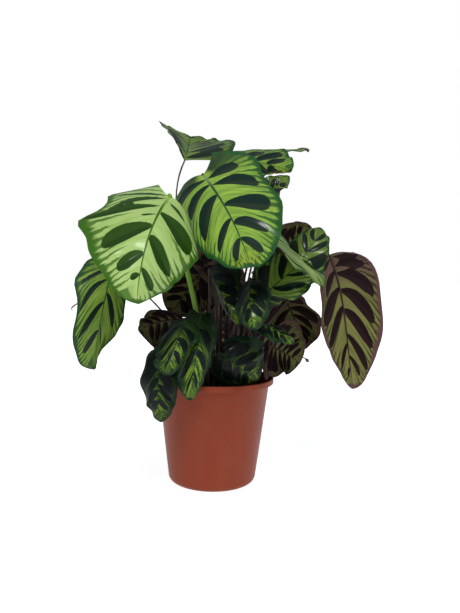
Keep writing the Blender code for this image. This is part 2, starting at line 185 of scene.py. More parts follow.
make_floor()
make_world()
make_light("SUN", "sun_over", (0, 0, 2), way=(-0.15, 0.75, -1.0), energy=2.1, angle=math.radians(12))
make_light("SUN", "sun_side", (0, 0, 2), way=(-0.9, 0.6, -0.35), energy=0.3, angle=math.radians(50))
make_light("AREA", "lamp_front", (-0.35, -1.1, 0.95), way=(0.35, 1.0, -0.7), energy=3, size=0.12)
bpy.context.scene.view_settings.view_transform = "Standard"
print("studio ready")

# %% [markdown]
# ## The leaves
#
# The plant is a rosette of thirty-two leaves on long stalks. Each one is set from the picture:
# where its stalk leaves the soil, where the stalk meets the blade, where the blade ends, and the way
# its upper face looks. These are the same numbers as in the solids' own source.

# %% The table of leaves
@dataclass(frozen=True)
class Leaf:
    """One leaf, in millimetres. Left and right are as seen on the upper face with the tip pointing
    away. Each half has a fold, how far it rises from level at the rib in degrees, and a curl, how
    far it goes on turning up to its margin. A heel is how far that half's base margin reaches back
    past the stalk, as a share of the length. Swells are the shares by which a margin stands out from
    the usual outline, or in, at five places from the stalk to the tip."""

    name: str
    foot: tuple  # x, y where the stalk leaves the soil
    base: tuple  # x, y, z where the stalk meets the blade
    tip: tuple  # x, y, z of the blade's point
    face: tuple  # the way the upper face looks
    width: float
    left: tuple = (-6, -25)
    right: tuple = (-6, -25)
    arch: tuple = (0.14, 0.16)  # how far the rib bows towards the upper face, early and late
    bow: float = 0.0  # how far the rib bows to the right, as a share of its length
    twist: float = 0.0  # degrees that the tip end turns about the rib
    wave: float = 2.0  # height of the margin's waves
    heels: tuple = (0.08, 0.08)  # left and right
    left_swell: tuple = (0, 0, 0, 0, 0)
    right_swell: tuple = (0, 0, 0, 0, 0)
    arrive: tuple = ()  # the way the stalk runs where it meets the blade, if not outwards and up
    tone: str = "mature"  # young, mature or dark, or purple where mostly the underside shows


SWELL_PLACES = (-0.05, 0.2, 0.45, 0.7, 0.92)  # shares of the rib's length
SWELL_SPREAD = 0.13

LEAVES = [
    Leaf("leaf_front_high", (4, -12), (-15, -61, 347), (35, -161, 250), (-0.05, -0.68, 0.73), 120,
         left=(12, -25), right=(-6, -72), arch=(0.03, 0.06), bow=-0.03, twist=19, heels=(0.23, 0.1),
         left_swell=(0.2, -0.02, 0.1, 0.05, 0.05), right_swell=(0.3, -0.1, -0.15, -0.1, -0.05)),
    Leaf("leaf_front_left_high", (-14, -14), (-43, -123, 316), (-63, -187, 216), (-0.12, -0.7, 0.7), 110,
         left=(-35, -44), right=(6, -20), arch=(0.17, 0.25), bow=-0.01, twist=13, heels=(0.05, 0.29),
         left_swell=(-0.3, 0.15, 0.1, 0.2, 0.55), right_swell=(0.25, 0, 0.4, 0.25, 0.1), tone="young"),
    Leaf("leaf_top_left", (-8, 2), (-38, -12, 370), (-41, 125, 427), (0.28, -0.38, 0.88), 108,
         left=(36, -22), right=(23, 0), arch=(0.12, -0.11), twist=6, arrive=(0.4, 0.1, 0.9),
         heels=(-0.19, 0.01), left_swell=(0, -0.45, -0.5, 0, 0), right_swell=(0.6, 0.1, -0.1, 0, -0.1)),
    Leaf("leaf_top_right", (6, 10), (8, 88, 401), (113, 72, 402), (0, -0.25, 0.97), 76,
         left=(-3, 0), right=(-1, 0), arch=(0.01, 0.01), wave=1),
    Leaf("leaf_top_right_low", (14, 16), (14, 34, 380), (83, -15, 361), (-0.12, -0.79, 0.61), 62,
         left=(-4, -12), right=(-40, -20), arch=(0.1, 0.05), bow=0.02, left_swell=(0, 0, 0, 0.45, 0.4),
         right_swell=(0, 0, 0, -0.6, -0.8), tone="dark"),
    Leaf("leaf_right_peek", (20, 26), (42, 50, 325), (87, 57, 366), (0.4, -0.9, 0.15), 39,
         left=(-12, -27), right=(-8, -26), bow=-0.03, left_swell=(0, 0, 0, 0.15, -0.25),
         right_swell=(0, 0, 0, -0.5, 0.25), tone="dark"),
    Leaf("leaf_left_hanging", (-30, -2), (-112, -52, 245), (-126, -67, 138), (-0.06, -0.99, 0.12), 54,
         left=(-37, -35), right=(27, -15), arch=(0.16, 0.3), bow=-0.04, twist=11,
         arrive=(-0.75, -0.45, 0.5), heels=(0, 0.11), left_swell=(0, 0.15, 0.25, 0.2, -0.7),
         right_swell=(0.3, 0.3, 0, 0.2, 0.4)),
    Leaf("leaf_right_hanging", (36, 6), (129, -12, 267), (166, 9, 109), (-0.24, 0.97, -0.01), 104,
         left=(-30, -16), right=(0, -6), arch=(0.14, 0.27), bow=0.13, twist=-5, heels=(0, -0.04),
         left_swell=(-0.1, -0.12, 0.06, 0.08, -0.05), right_swell=(-0.4, 0, -0.05, 0.02, -0.12),
         tone="purple"),
    Leaf("leaf_right_high", (20, 2), (84, -50, 243), (115, -34, 296), (-0.14, -0.96, 0.22), 54,
         left=(-6, -25), right=(4, -21), bow=0.04, right_swell=(0, 0, -0.1, -0.1, 0)),
    Leaf("leaf_right_behind", (26, 14), (70, 5, 263), (112, 22, 301), (0, 0.9, 0.4), 60, tone="purple"),
    Leaf("leaf_right_edge", (22, -10), (43, -68, 296), (108, -106, 232), (0.5, -0.28, 0.82), 68,
         left=(4, 0), right=(5, -6), arch=(-0.04, 0.07), left_swell=(0.1, 0.05, -0.4, -0.6, 0.35),
         right_swell=(0, 0, -0.5, 0.1, -0.15)),
    Leaf("leaf_right_front", (32, -4), (53, -62, 220), (100, -67, 260), (-0.18, -0.91, 0.38), 62,
         left=(0, -22), right=(0, -23), heels=(0.12, 0), left_swell=(0.1, 0.25, 0, 0.25, 0),
         right_swell=(-0.1, -0.4, -0.1, 0.05, 0.05), tone="dark"),
    Leaf("leaf_right_low", (40, 16), (80, 23, 216), (102, 39, 149), (0.42, 0.87, 0.23), 78, bow=0.08,
         right_swell=(0.1, -0.25, 0.1, 0.15, 0), tone="purple"),
    Leaf("leaf_right_rim", (44, -4), (62, -14, 162), (101, -2, 141), (-0.16, 0.95, -0.27), 78, bow=0.06,
         heels=(0.3, 0.08), left_swell=(0.15, -0.1, -0.05, -0.15, 0.35), right_swell=(0, 0, 0, 0, 0.15),
         tone="purple"),
    Leaf("leaf_centre_left", (-6, -22), (-7, -42, 248), (26, -92, 190), (-0.36, -0.73, 0.58), 62,
         left=(-5, -15), right=(-60, -33), left_swell=(0, 0, -0.2, -0.2, 0), tone="dark"),
    Leaf("leaf_centre", (12, -18), (37, -92, 239), (40, -138, 191), (-0.32, -0.86, 0.41), 50,
         left=(-27, -23), right=(-25, -21), left_swell=(0, -0.05, -0.15, 0.05, 0.1),
         right_swell=(0.05, -0.15, 0, 0, 0.05), tone="dark"),
    Leaf("leaf_centre_small", (34, -16), (45, -64, 188), (81, -108, 175), (0.02, -0.65, 0.76), 27,
         arch=(0.2, 0.14), arrive=(0.3, -0.9, -0.3), left_swell=(0, 0.1, 0, -0.25, 0),
         right_swell=(0, -0.25, 0, 0.2, -0.1), tone="dark"),
    Leaf("leaf_left_low_behind", (-30, -14), (-35, -33, 191), (-86, -26, 177), (0, 0.79, 0.61), 74,
         left=(-13, -28), right=(-13, -27), right_swell=(0, 0, 0, 0.1, 0.35), tone="purple"),
    Leaf("leaf_left_front", (-34, -32), (-28, -84, 195), (-42, -131, 145), (-0.2, -0.84, 0.5), 45,
         left=(-22, -32), right=(-2, -23), bow=-0.03, arrive=(0.8, -0.5, 0.4),
         left_swell=(0, 0, -0.35, -0.3, 0), right_swell=(0, -0.25, -0.1, 0.1, 0.65), tone="dark"),
    Leaf("leaf_front_low", (-6, -36), (-14, -64, 200), (-21, -103, 115), (0.1, -0.91, 0.4), 47,
         left=(-12, -28), right=(-4, -24), left_swell=(0.1, 0, -0.15, -0.2, -0.15),
         right_swell=(-0.2, -0.3, 0, -0.05, 0.2), tone="dark"),
    Leaf("leaf_left_low", (-40, -22), (-53, -69, 159), (-53, -83, 87), (-0.33, -0.92, 0.21), 48,
         left=(-2, -23), right=(-4, -24), left_swell=(0, 0, -0.05, 0, 0.15),
         right_swell=(0.2, -0.1, 0.15, -0.05, -0.15), tone="dark"),
    Leaf("leaf_soil_front", (18, -32), (6, -46, 157), (50, -46, 127), (-0.2, -0.95, 0.1), 60,
         left_swell=(0, 0.1, 0.4, 0.65, 0.6), tone="dark"),
    Leaf("leaf_left_behind", (-22, 8), (-14, 12, 253), (-53, 16, 193), (-0.05, 0.97, 0.1), 76,
         arch=(0.03, 0.04), tone="purple"),
    Leaf("leaf_back_high", (-6, 18), (-40, 58, 325), (-64, 138, 243), (-0.1, 0.75, 0.65), 104),
    Leaf("leaf_back_left_high", (-16, 24), (-52, 46, 293), (-134, 88, 261), (-0.4, 0.4, 0.8), 86, twist=12),
    Leaf("leaf_back_right_high", (30, 28), (58, 52, 301), (106, 128, 229), (0.35, 0.65, 0.65), 90),
    Leaf("leaf_back_left_low", (-28, 34), (-44, 60, 185), (-72, 114, 127), (-0.5, 0.7, 0.5), 74, bow=0.06,
         tone="dark"),
    Leaf("leaf_back_right_low", (26, 40), (38, 64, 193), (88, 118, 123), (0.5, 0.7, 0.5), 80, tone="dark"),
    Leaf("leaf_back_low", (-4, 40), (-2, 60, 187), (6, 120, 109), (0.1, 0.85, 0.5), 74, tone="dark"),
    Leaf("leaf_back_middle", (6, 26), (-2, 56, 265), (0, 116, 170), (0, 0.8, 0.6), 80, arch=(0.1, 0.1),
         tone="dark"),
    Leaf("leaf_back_right_middle", (42, 28), (62, 40, 249), (104, 112, 211), (0.5, 0.45, 0.7), 64,
         tone="dark"),
    Leaf("leaf_back_left_middle", (-38, 34), (-60, 62, 257), (-104, 128, 211), (-0.5, 0.5, 0.7), 84,
         tone="dark"),
]
print(len(LEAVES), "leaves, the highest of them", max(leaf.tip[2] for leaf in LEAVES), "mm up")

# %% [markdown]
# ## The surface of a blade
#
# A blade is a flat sheet that is carried along a curved rib. Each half is folded up or down at the rib
# and curls on towards its margin, and the margin waves. One formula does all of that, for a whole
# array of places at once, with u from the stalk to the tip and v from margin to margin.

# %% The surface of a blade
SOIL_LEVEL = 106 * MM
SOIL_CROWN = 5 * MM
ROOT_DEPTH = 32 * MM
STALK_STRAIGHT = 9 * MM
VEIN_LEAN = 0.54  # how far a side vein runs to the tip, as a share of what is left of the rib
HEEL_END = 0.45  # share of the rib from where on the veins have that lean
VEIN_CURVE = 1.4  # a vein leaves the rib squarely and leans later
WAVES = 2.6  # along one margin


def unit(vector):
    return vector / np.linalg.norm(vector, axis=-1, keepdims=True)


def eased(x):
    """From 0 to 1 with a soft start and a soft end."""
    x = np.clip(x, 0, 1)
    return x * x * (3 - 2 * x)


def bezier(t, start, first, last, end):
    return (1 - t) ** 3 * start + 3 * t * (1 - t) ** 2 * first + 3 * t**2 * (1 - t) * last + t**3 * end


def outline(s, heel):
    """Half width of the blade at s along the rib, as a share of the widest half."""
    share = np.clip((s + heel) / (1 + heel), 0, 1)
    return np.abs(np.sin(np.pi * (0.06 + 0.94 * share**0.75))) ** 0.5


def sweep(u, heel):
    """How far towards the tip a side vein that leaves the rib at u has run at the margin, as a share
    of the length. The first veins run back past the stalk and the later ones lean forward."""
    return (1 - u) * ((VEIN_LEAN + heel) * eased(u / HEEL_END) - heel)


def rib_frame(leaf, s):
    """Points along the rib at s, with the directions to the right and out of the upper face."""
    base, tip = np.array(leaf.base, float), np.array(leaf.tip, float)
    chord = tip - base
    length = np.linalg.norm(chord)
    face = np.array(leaf.face, float)
    out = unit(face - chord * (face @ chord) / length**2)
    side = unit(np.cross(chord, out))
    early = base + chord / 3 + (out * leaf.arch[0] + side * leaf.bow) * length
    late = base + chord * 2 / 3 + (out * leaf.arch[1] + side * leaf.bow) * length
    s = s[..., None]
    along = 3 * (1 - s) ** 2 * (early - base) + 6 * s * (1 - s) * (late - early) + 3 * s**2 * (tip - late)
    along = unit(along)
    right = unit(side - along * (along @ side)[..., None])
    up = np.cross(right, along)
    turn = np.radians(leaf.twist) * s
    return (bezier(s, base, early, late, tip),
            right * np.cos(turn) + up * np.sin(turn), up * np.cos(turn) - right * np.sin(turn))


def blade_points(leaf, u, v):
    """Points of the blade in millimetres. u runs from the stalk to the tip and v from the left
    margin at -1 over the rib to the right margin at 1."""
    across = np.abs(v)
    heel = np.where(v < 0, leaf.heels[0], leaf.heels[1])
    margin = u + sweep(u, heel)
    point, right, up = rib_frame(leaf, u + sweep(u, heel) * across**VEIN_CURVE)
    fold = np.radians(np.where(v < 0, leaf.left[0], leaf.right[0]))
    curl = np.radians(np.where(v < 0, leaf.left[1], leaf.right[1]))
    curl = np.where(np.abs(curl) < 1e-3, 1e-3, curl)
    bells = np.exp(-(((margin[..., None] - SWELL_PLACES) / SWELL_SPREAD) ** 2))
    swell = np.where(v < 0, bells @ leaf.left_swell, bells @ leaf.right_swell)
    half = leaf.width / 2 * outline(margin, heel) * (1 + swell * across**2)
    out = half * (np.sin(fold + curl * across) - np.sin(fold)) / curl
    lift = half * (np.cos(fold) - np.cos(fold + curl * across)) / curl
    phase = random.Random(leaf.name).uniform(0, 2 * math.pi)
    waves = np.sin(2 * math.pi * WAVES * u + phase + np.sign(v)) * np.sin(math.pi * np.clip(u, 0, 1)) ** 0.5
    lift = lift + leaf.wave * across**2 * waves
    return point + right * (np.sign(v) * out)[..., None] + up * lift[..., None]


def stalk_points(leaf, count):
    """The stalk's centre line in millimetres, from its buried end to the blade."""
    foot = np.array([*leaf.foot, (SOIL_LEVEL + SOIL_CROWN) / MM])
    buried = foot - [0, 0, (ROOT_DEPTH + SOIL_CROWN) / MM]
    start = foot + [0, 0, (STALK_STRAIGHT - SOIL_CROWN) / MM]
    base = np.array(leaf.base, float)
    reach = np.linalg.norm(base - start)
    level = base - start
    level[2] = 0
    way = np.array(leaf.arrive, float) if leaf.arrive else unit(level) * 0.5 + [0, 0, 0.87]
    first = start + [0, 0, 0.4 * reach]
    last = base - unit(way) * 0.3 * reach
    return np.vstack([buried, bezier(np.linspace(0, 1, count)[:, None], start, first, last, base)])


longest = max(LEAVES, key=lambda leaf: math.dist(leaf.base, leaf.tip))
print("longest rib:", longest.name, round(math.dist(longest.base, longest.tip)), "mm from end to end")

# %% [markdown]
# ## One flat leaf, bent thirty-two times
#
# A calathea blade is a sheet of tissue about 0.4 mm thick between a midrib and two curved margins.
# Its side veins leave the rib in parallel and sweep towards the tip. So the blade is modelled flat
# once, as a grid whose rows are side veins and whose columns run along the rib, and each copy is bent
# onto its own rib by the surface formula above. A hand-sculpted leaf would look as good, but thirty-two
# of them could not be corrected with one number.

# %% The flat leaf
VEIN_ROWS = 64
HALF_COLUMNS = 22
AT_TIP = 0.9999  # what lies further along the flat leaf is its last row


def model_flat_leaf():
    """A grid with the leaf's left to right on X from -1 to 1 and its length on Y from 0 to 1."""
    bpy.ops.object.select_all(action="DESELECT")
    bpy.ops.mesh.primitive_grid_add(
        x_subdivisions=2 * HALF_COLUMNS, y_subdivisions=VEIN_ROWS, size=2, location=(0, 0, 0))
    leaf = bpy.context.object
    leaf.name = "flat_leaf"
    bpy.ops.object.mode_set(mode="EDIT")
    bpy.ops.transform.resize(value=(1, 0.5, 1))
    bpy.ops.transform.translate(value=(0, 0.5, 0))
    sheet = bmesh.from_edit_mesh(leaf.data)
    for vertex in sheet.verts:
        vertex.select_set(vertex.co.y > AT_TIP)
    sheet.select_flush_mode()
    bmesh.update_edit_mesh(leaf.data)
    bpy.ops.mesh.merge(type="CENTER")
    bpy.ops.object.mode_set(mode="OBJECT")
    return leaf


flat_leaf = model_flat_leaf()
print("flat leaf:", len(flat_leaf.data.vertices), "points")

# %% [markdown]
# ## Where the ovals lie
#
# The dark ovals are what one knows this plant by. Each lies along a strong side vein, starts narrow at
# the rib, widens, and ends bluntly before the margin. No two leaves have the same, so the ovals of the
# leaves that face the camera are listed one by one, as one would chalk them on. The others get ovals of
# the usual kind with a little chance in them. An oval is four numbers: where its axis starts on the rib
# and where it ends, both counted along the rib as shares of its length, how far it reaches towards the
# margin, and half its width as a share of the length.

# %% The ovals
@dataclass(frozen=True)
class Dress:
    """What a leaf's finish needs besides its shape."""

    left: tuple = ()  # ovals of the left half: start, end, reach, half width
    right: tuple = ()
    stalk: float = 1.1  # radius of the stalk at the blade, in millimetres
    green: bool = False  # a green stalk, where others are purple-brown
    lobe: float = 0.3  # how dark the lobes beside the stalk are
    tip: float = 0.3  # how yellow and blotched the tip is
    shade: float = 0.0  # painted shade: how much darker than its kind the leaf is painted, where it lies in shade
    tone: str = ""  # the upper face, where it is another kind than the table says
    usual: int = 5  # ovals on a half, where none are listed


DRESS = {
    "leaf_front_high": Dress(
        left=((0.02, 0.01, 0.98, 0.01), (0.075, 0.09, 0.7, 0.033), (0.165, 0.19, 0.83, 0.038),
              (0.42, 0.29, 0.84, 0.06), (0.62, 0.51, 0.81, 0.068), (0.77, 0.815, 0.74, 0.055)),
        right=((0.08, 0.09, 0.82, 0.036), (0.15, 0.24, 0.71, 0.037), (0.29, 0.4, 0.81, 0.058),
               (0.57, 0.68, 0.81, 0.048), (0.765, 0.89, 0.63, 0.048)),
        stalk=1.3, lobe=0.9, tip=0.9),
    "leaf_front_left_high": Dress(
        left=((0.08, 0.1, 0.55, 0.02), (0.25, 0.2, 0.84, 0.066), (0.52, 0.56, 0.83, 0.1),
              (0.775, 0.865, 0.68, 0.047)),
        right=((0, 0.12, 0.9, 0.02), (0.045, 0.21, 0.86, 0.026), (0.17, 0.25, 1, 0.028),
               (0.28, 0.29, 0.3, 0.015), (0.42, 0.4, 0.86, 0.082), (0.67, 0.69, 0.73, 0.067),
               (0.82, 0.825, 0.38, 0.026)),
        stalk=2.4, green=True, lobe=0, tip=0),
    "leaf_left_hanging": Dress(
        left=((0.05, 0.12, 0.6, 0.03), (0.245, 0.36, 0.73, 0.055), (0.54, 0.73, 0.4, 0.035)),
        right=((-0.02, 0.17, 0.88, 0.022), (0.1, 0.275, 0.93, 0.028), (0.34, 0.47, 0.88, 0.055),
               (0.62, 0.72, 0.79, 0.055)),
        stalk=0.9, shade=0.25),
    "leaf_right_hanging": Dress(
        left=((0.03, 0.03, 0.6, 0.02), (0.128, 0.155, 0.56, 0.038), (0.27, 0.245, 0.86, 0.057),
              (0.427, 0.43, 0.95, 0.07), (0.7, 0.81, 0.73, 0.042), (0.87, 0.915, 0.42, 0.022)),
        right=((0.03, 0.05, 0.9, 0.02), (0.09, 0.1, 0.79, 0.028), (0.155, 0.215, 0.83, 0.043),
               (0.288, 0.34, 0.81, 0.053), (0.453, 0.53, 0.87, 0.073), (0.638, 0.777, 0.89, 0.052),
               (0.79, 0.885, 0.61, 0.032)),
        stalk=1.4),
    "leaf_right_high": Dress(
        left=((0.05, 0.1, 0.85, 0.07), (0.22, 0.3, 0.94, 0.08), (0.45, 0.6, 0.9, 0.1),
              (0.7, 0.86, 0.8, 0.08)),
        right=((0.08, 0.08, 0.92, 0.06), (0.26, 0.28, 0.94, 0.09), (0.48, 0.6, 0.9, 0.09),
               (0.7, 0.84, 0.8, 0.07)),
        shade=0.5),
    "leaf_right_front": Dress(
        left=((0.1, 0.2, 0.86, 0.09), (0.43, 0.5, 0.92, 0.095), (0.69, 0.85, 0.8, 0.07)),
        right=((0.05, 0.16, 0.86, 0.05), (0.22, 0.48, 0.86, 0.09), (0.53, 0.82, 0.8, 0.08)),
        lobe=0.6, tone="mature", shade=0.4),
    "leaf_left_front": Dress(
        left=((0.21, 0.22, 0.8, 0.05), (0.45, 0.36, 0.84, 0.07), (0.66, 0.68, 0.8, 0.06)),
        right=((0.13, 0.4, 0.84, 0.07), (0.42, 0.7, 0.8, 0.07), (0.66, 0.9, 0.5, 0.05)),
        shade=0.15),
    "leaf_front_low": Dress(
        left=((0.22, 0.26, 0.75, 0.06), (0.5, 0.42, 0.85, 0.07), (0.72, 0.83, 0.6, 0.04)),
        right=((0.2, 0.3, 0.8, 0.06), (0.48, 0.62, 0.86, 0.085), (0.71, 0.89, 0.6, 0.04))),
    "leaf_right_low": Dress(
        left=((0.08, 0.16, 0.7, 0.035), (0.25, 0.34, 0.84, 0.055), (0.48, 0.54, 0.86, 0.055),
              (0.68, 0.76, 0.8, 0.045)),
        shade=0.2),
    "leaf_left_low": Dress(shade=0.25),
    "leaf_left_low_behind": Dress(shade=0.6),
    "leaf_left_behind": Dress(shade=0.5),
    "leaf_right_behind": Dress(shade=0.3),
    "leaf_right_rim": Dress(usual=6, shade=0.35),
    # Seen at a grazing angle, this leaf takes the pale young face as a painted reflection, with painted
    # shade over it.
    "leaf_right_edge": Dress(
        left=((-0.05, 0.4, 0.95, 0.05), (0.12, 0.7, 0.95, 0.05), (0.3, 0.9, 0.9, 0.04)),
        right=((-0.05, 0.4, 0.95, 0.05), (0.12, 0.7, 0.95, 0.05), (0.3, 0.9, 0.9, 0.04)),
        tone="young", shade=0.4),
    "leaf_top_left": Dress(stalk=0.8, usual=8, shade=0.4),
    "leaf_top_right": Dress(usual=4, shade=0.15),
    "leaf_top_right_low": Dress(usual=4, tone="mature", shade=0.15),
    "leaf_right_peek": Dress(tone="mature", shade=0.35),
    "leaf_soil_front": Dress(usual=4, shade=0.3),
    "leaf_centre_left": Dress(usual=4, shade=0.1),
    "leaf_centre": Dress(usual=4),
}
OVAL_START = 0.6  # an oval's width near the rib as a share of its widest
OVAL_FULL = 0.6  # share of its reach from where on an oval is at its widest
SHORT_OVAL = 0.4  # an oval that reaches less far is a dot, and no band of lines ends at it
LAST_GAP = 0.2  # from the first or last oval to where the count of ovals stops
OUTSIDE = -3.0  # depth of a place that is far from every oval


def usual_ovals(leaf, dress, side):
    """Evenly spread ovals with a little chance in each number. Those of the two halves alternate."""
    rng = random.Random(f"{leaf.name} {side} ovals")
    step = 0.92 / dress.usual
    shift = 0.2 if side == "left" else 0.55
    plump = 0.4 if leaf.tone in ("dark", "purple") else 0.34
    rows = []
    for k in range(dress.usual):
        start = 0.9 * ((k + shift + rng.uniform(-0.1, 0.1)) * step) ** 1.1
        end = start + rng.uniform(0, 0.07) * (1 - start)
        reach = rng.uniform(0.74, 0.9) - 0.25 * start**4
        rows.append((start, end, reach, plump * step * rng.uniform(0.85, 1.1)))
    return tuple(rows)


def oval_place(rows, u, across):
    """For each point of a half: its depth in the nearest oval, above 0 where it is inside, how far off
    that oval's axis it is in half widths, and how many axes lie between it and the stalk."""
    depth = np.full_like(u, OUTSIDE)
    off_axis = np.zeros_like(u)
    axes = []
    for start, end, reach, half in rows:
        t = across / reach
        axis = start + (end - start) * np.minimum(t, 1.2)
        off = (u - axis) / half
        taper = OVAL_START + (1 - OVAL_START) * eased(t / OVAL_FULL)
        inside = np.maximum(1 - np.abs(2 * t - 1) ** 3 - (off / taper) ** 2, OUTSIDE)
        off_axis = np.where(inside > depth, off, off_axis)
        depth = np.maximum(depth, inside)
        if reach > SHORT_OVAL:
            axes.append(axis)
    axes = [axes[0] - LAST_GAP, *axes, axes[-1] + LAST_GAP]
    count = sum(np.clip((u - a) / np.maximum(b - a, 0.02), 0, 1) for a, b in zip(axes, axes[1:]))
    return np.stack([depth, np.clip(off_axis, -2, 2), count - 0.5], -1)


print(sum(len(dress.left + dress.right) for dress in DRESS.values()), "ovals listed by eye")

# %% [markdown]
# ## Bending a blade
#
# Along each oval's axis the side vein pulls the sheet into a crease, and the tissue between two veins
# swells, so the upper face is quilted and catches the light in bands. The quilting is real geometry. It
# is pushed out along the normals once the blade has its shape. Attributes go with each point for the
# material to read: where it lies on the leaf, and where it lies among the ovals of either half.

# %% Bending a blade
BLADE_SHEET = 0.45 * MM
TIP_CROWDING = 1.6
QUILT_HEIGHT = 0.012  # as a share of the blade's width
BUCKLE_HEIGHT = 0.6 * MM


def quilt(leaf, count, u, v):
    """Height of the quilted surface over the smooth one. The quilting fades out at the rib and the
    margin, and the whole sheet buckles a little, more so towards the margin."""
    across = np.abs(v)
    swell = np.abs(np.cos(math.pi * count)) ** 0.8 - 0.5
    rise = np.clip(across / 0.3, 0, 1) * np.clip((1.02 - across) / 0.25, 0.25, 1)
    rng = random.Random(leaf.name + " buckle")
    turns = [rng.uniform(0, 2 * math.pi) for _ in range(3)]
    buckle = np.sin(5.1 * u + 2.3 * v + turns[0]) + np.sin(9.7 * u - 3.9 * v + turns[1])
    buckle = (buckle + 0.6 * np.sin(17.0 * u + 6.0 * v + turns[2])) * across
    return QUILT_HEIGHT * leaf.width * MM * swell * rise + BUCKLE_HEIGHT * buckle * 0.5


def note(mesh, name, values):
    """Writes three numbers a point as an attribute."""
    attribute = mesh.attributes.new(name, "FLOAT_VECTOR", "POINT")
    attribute.data.foreach_set("vector", values.astype(np.float32).ravel())


def bend_blade(leaf, dress):
    """A copy of the flat leaf, bent and quilted."""
    blade = flat_leaf.copy()
    blade.data = flat_leaf.data.copy()
    blade.name = leaf.name + "_finish"
    bpy.context.scene.collection.objects.link(blade)
    mesh = blade.data
    flat = np.empty(len(mesh.vertices) * 3, np.float32)
    mesh.vertices.foreach_get("co", flat)
    v, y, _ = flat.reshape(-1, 3).astype(float).T
    v[y > AT_TIP] = 0
    u = 1 - np.clip(1 - y, 0, 1) ** TIP_CROWDING
    points = blade_points(leaf, u, v) * MM
    mesh.vertices.foreach_set("co", points.astype(np.float32).ravel())
    mesh.update()
    normals = np.empty(len(mesh.vertices) * 3, np.float32)
    mesh.vertex_normals.foreach_get("vector", normals)
    left = oval_place(dress.left or usual_ovals(leaf, dress, "left"), u, np.abs(v))
    right = oval_place(dress.right or usual_ovals(leaf, dress, "right"), u, np.abs(v))
    count = np.where(v < 0, left[:, 2], right[:, 2])
    points += normals.reshape(-1, 3) * quilt(leaf, count, u, v)[:, None]
    mesh.vertices.foreach_set("co", points.astype(np.float32).ravel())
    chance = np.full_like(u, random.Random(leaf.name + " chance").random())
    note(mesh, "leaf_place", np.stack([u, v, chance], -1))
    note(mesh, "left_ovals", left)
    note(mesh, "right_ovals", right)
    # The mood's third number is the leaf's share of painted shade.
    note(mesh, "leaf_mood", np.tile([dress.lobe, dress.tip, dress.shade], (len(u), 1)))
    mesh.update()
    return blade


def pick(*pieces):
    """Selects these pieces and nothing else, the first of them as the active one."""
    bpy.ops.object.select_all(action="DESELECT")
    for piece in pieces:
        piece.select_set(True)
    bpy.context.view_layer.objects.active = pieces[0]


def apply_modifiers(piece):
    pick(piece)
    for modifier in list(piece.modifiers):
        bpy.ops.object.modifier_apply(modifier=modifier.name)


def thicken_blade(blade):
    """Gives the sheet its lower face, which takes the next material slot."""
    thickness = blade.modifiers.new("tissue", "SOLIDIFY")
    thickness.thickness = BLADE_SHEET
    thickness.offset = -1
    thickness.material_offset = 1
    thickness.material_offset_rim = 0
    apply_modifiers(blade)


print("quilting up to", round(QUILT_HEIGHT * max(leaf.width for leaf in LEAVES) / 2, 2), "mm high")

# %% [markdown]
# ## Stalks
#
# A calathea stalk is a firm round rod. Its lower half is wrapped in a sheath, and just under the blade
# it has a slightly swollen joint that turns the blade to the light. It then runs on beneath the blade
# as the raised midrib. All of that is one curve with a radius that changes along it, which is how a
# wire or a stem is best made. It becomes a mesh and is joined to its blade.

# %% Stalks
SHEATH_SHARE = 0.45
SHEATH_RADIUS = 2.4
JOINT_PLACE = 0.95  # share of the stalk's height
JOINT_SPREAD = 0.035
JOINT_SWELL = 1.3
RIB_REACH = 0.93
RIB_SINK = 0.3  # the midrib stays this far under the upper face, in millimetres
RIB_POINTS = 14
STALK_SAMPLES = 26


def stalk_radius(share, top):
    """Radius in millimetres at a share of the stalk's height, from the soil to the blade."""
    sheath = eased((SHEATH_SHARE - share) / 0.1)
    rod = top * (1.25 - 0.25 * share)
    joint = np.exp(-(((share - JOINT_PLACE) / JOINT_SPREAD) ** 2)) * (JOINT_SWELL - 1) * top
    return rod + (max(SHEATH_RADIUS, top) - rod) * sheath * (1 - 0.35 * share / SHEATH_SHARE) + joint


def tube(name, points, radii):
    """A mesh tube through points in millimetres, with a radius at each."""
    curve = bpy.data.curves.new(name, "CURVE")
    curve.dimensions = "3D"
    curve.bevel_depth = 1 * MM
    curve.bevel_resolution = 3
    curve.use_fill_caps = True
    spline = curve.splines.new("POLY")
    spline.points.add(len(points) - 1)
    spline.points.foreach_set("co", np.column_stack([np.array(points) * MM, np.ones(len(points))]).ravel())
    spline.points.foreach_set("radius", radii)
    made = bpy.data.objects.new(name, curve)
    bpy.context.scene.collection.objects.link(made)
    pick(made)
    bpy.ops.object.convert(target="MESH")
    return bpy.context.object


def make_stalk(leaf, dress):
    """The stalk with the midrib that goes on from it, as a mesh tube."""
    stem = stalk_points(leaf, STALK_SAMPLES)
    share = np.concatenate([[0], np.linspace(0, 1, STALK_SAMPLES)])
    radius = stalk_radius(share, dress.stalk)
    u = np.linspace(0.02, RIB_REACH, RIB_POINTS)
    point, _, up = rib_frame(leaf, u)
    rib_radius = dress.stalk * (1 - u) ** 0.6 * 0.85 + 0.12
    rib = point - up * (rib_radius + RIB_SINK)[:, None]
    return tube(leaf.name + "_stalk", np.vstack([stem, rib]), np.concatenate([radius, rib_radius]))


print("a thin stalk's radius at soil, middle and blade:",
      [round(float(stalk_radius(share, Dress().stalk)), 1) for share in (0, 0.5, 1)], "mm")

# %% [markdown]
# ## Leaf tissue
#
# The upper face is living tissue under a thin natural wax. Wax gives the soft pale sheen and the small
# white highlights. Under it the pattern is drawn with cells that hold more or less green: pale bands,
# near-black ovals that point at the rib, thin dark lines that run on to the margin, and a dark margin
# with a feathered inner edge. The pattern follows the veins, so it is worked out from the
# attributes of each blade and needs no image.

# %% The pattern of a blade
LINES_A_BAND = 4  # thin dark lines from one oval's axis to the next
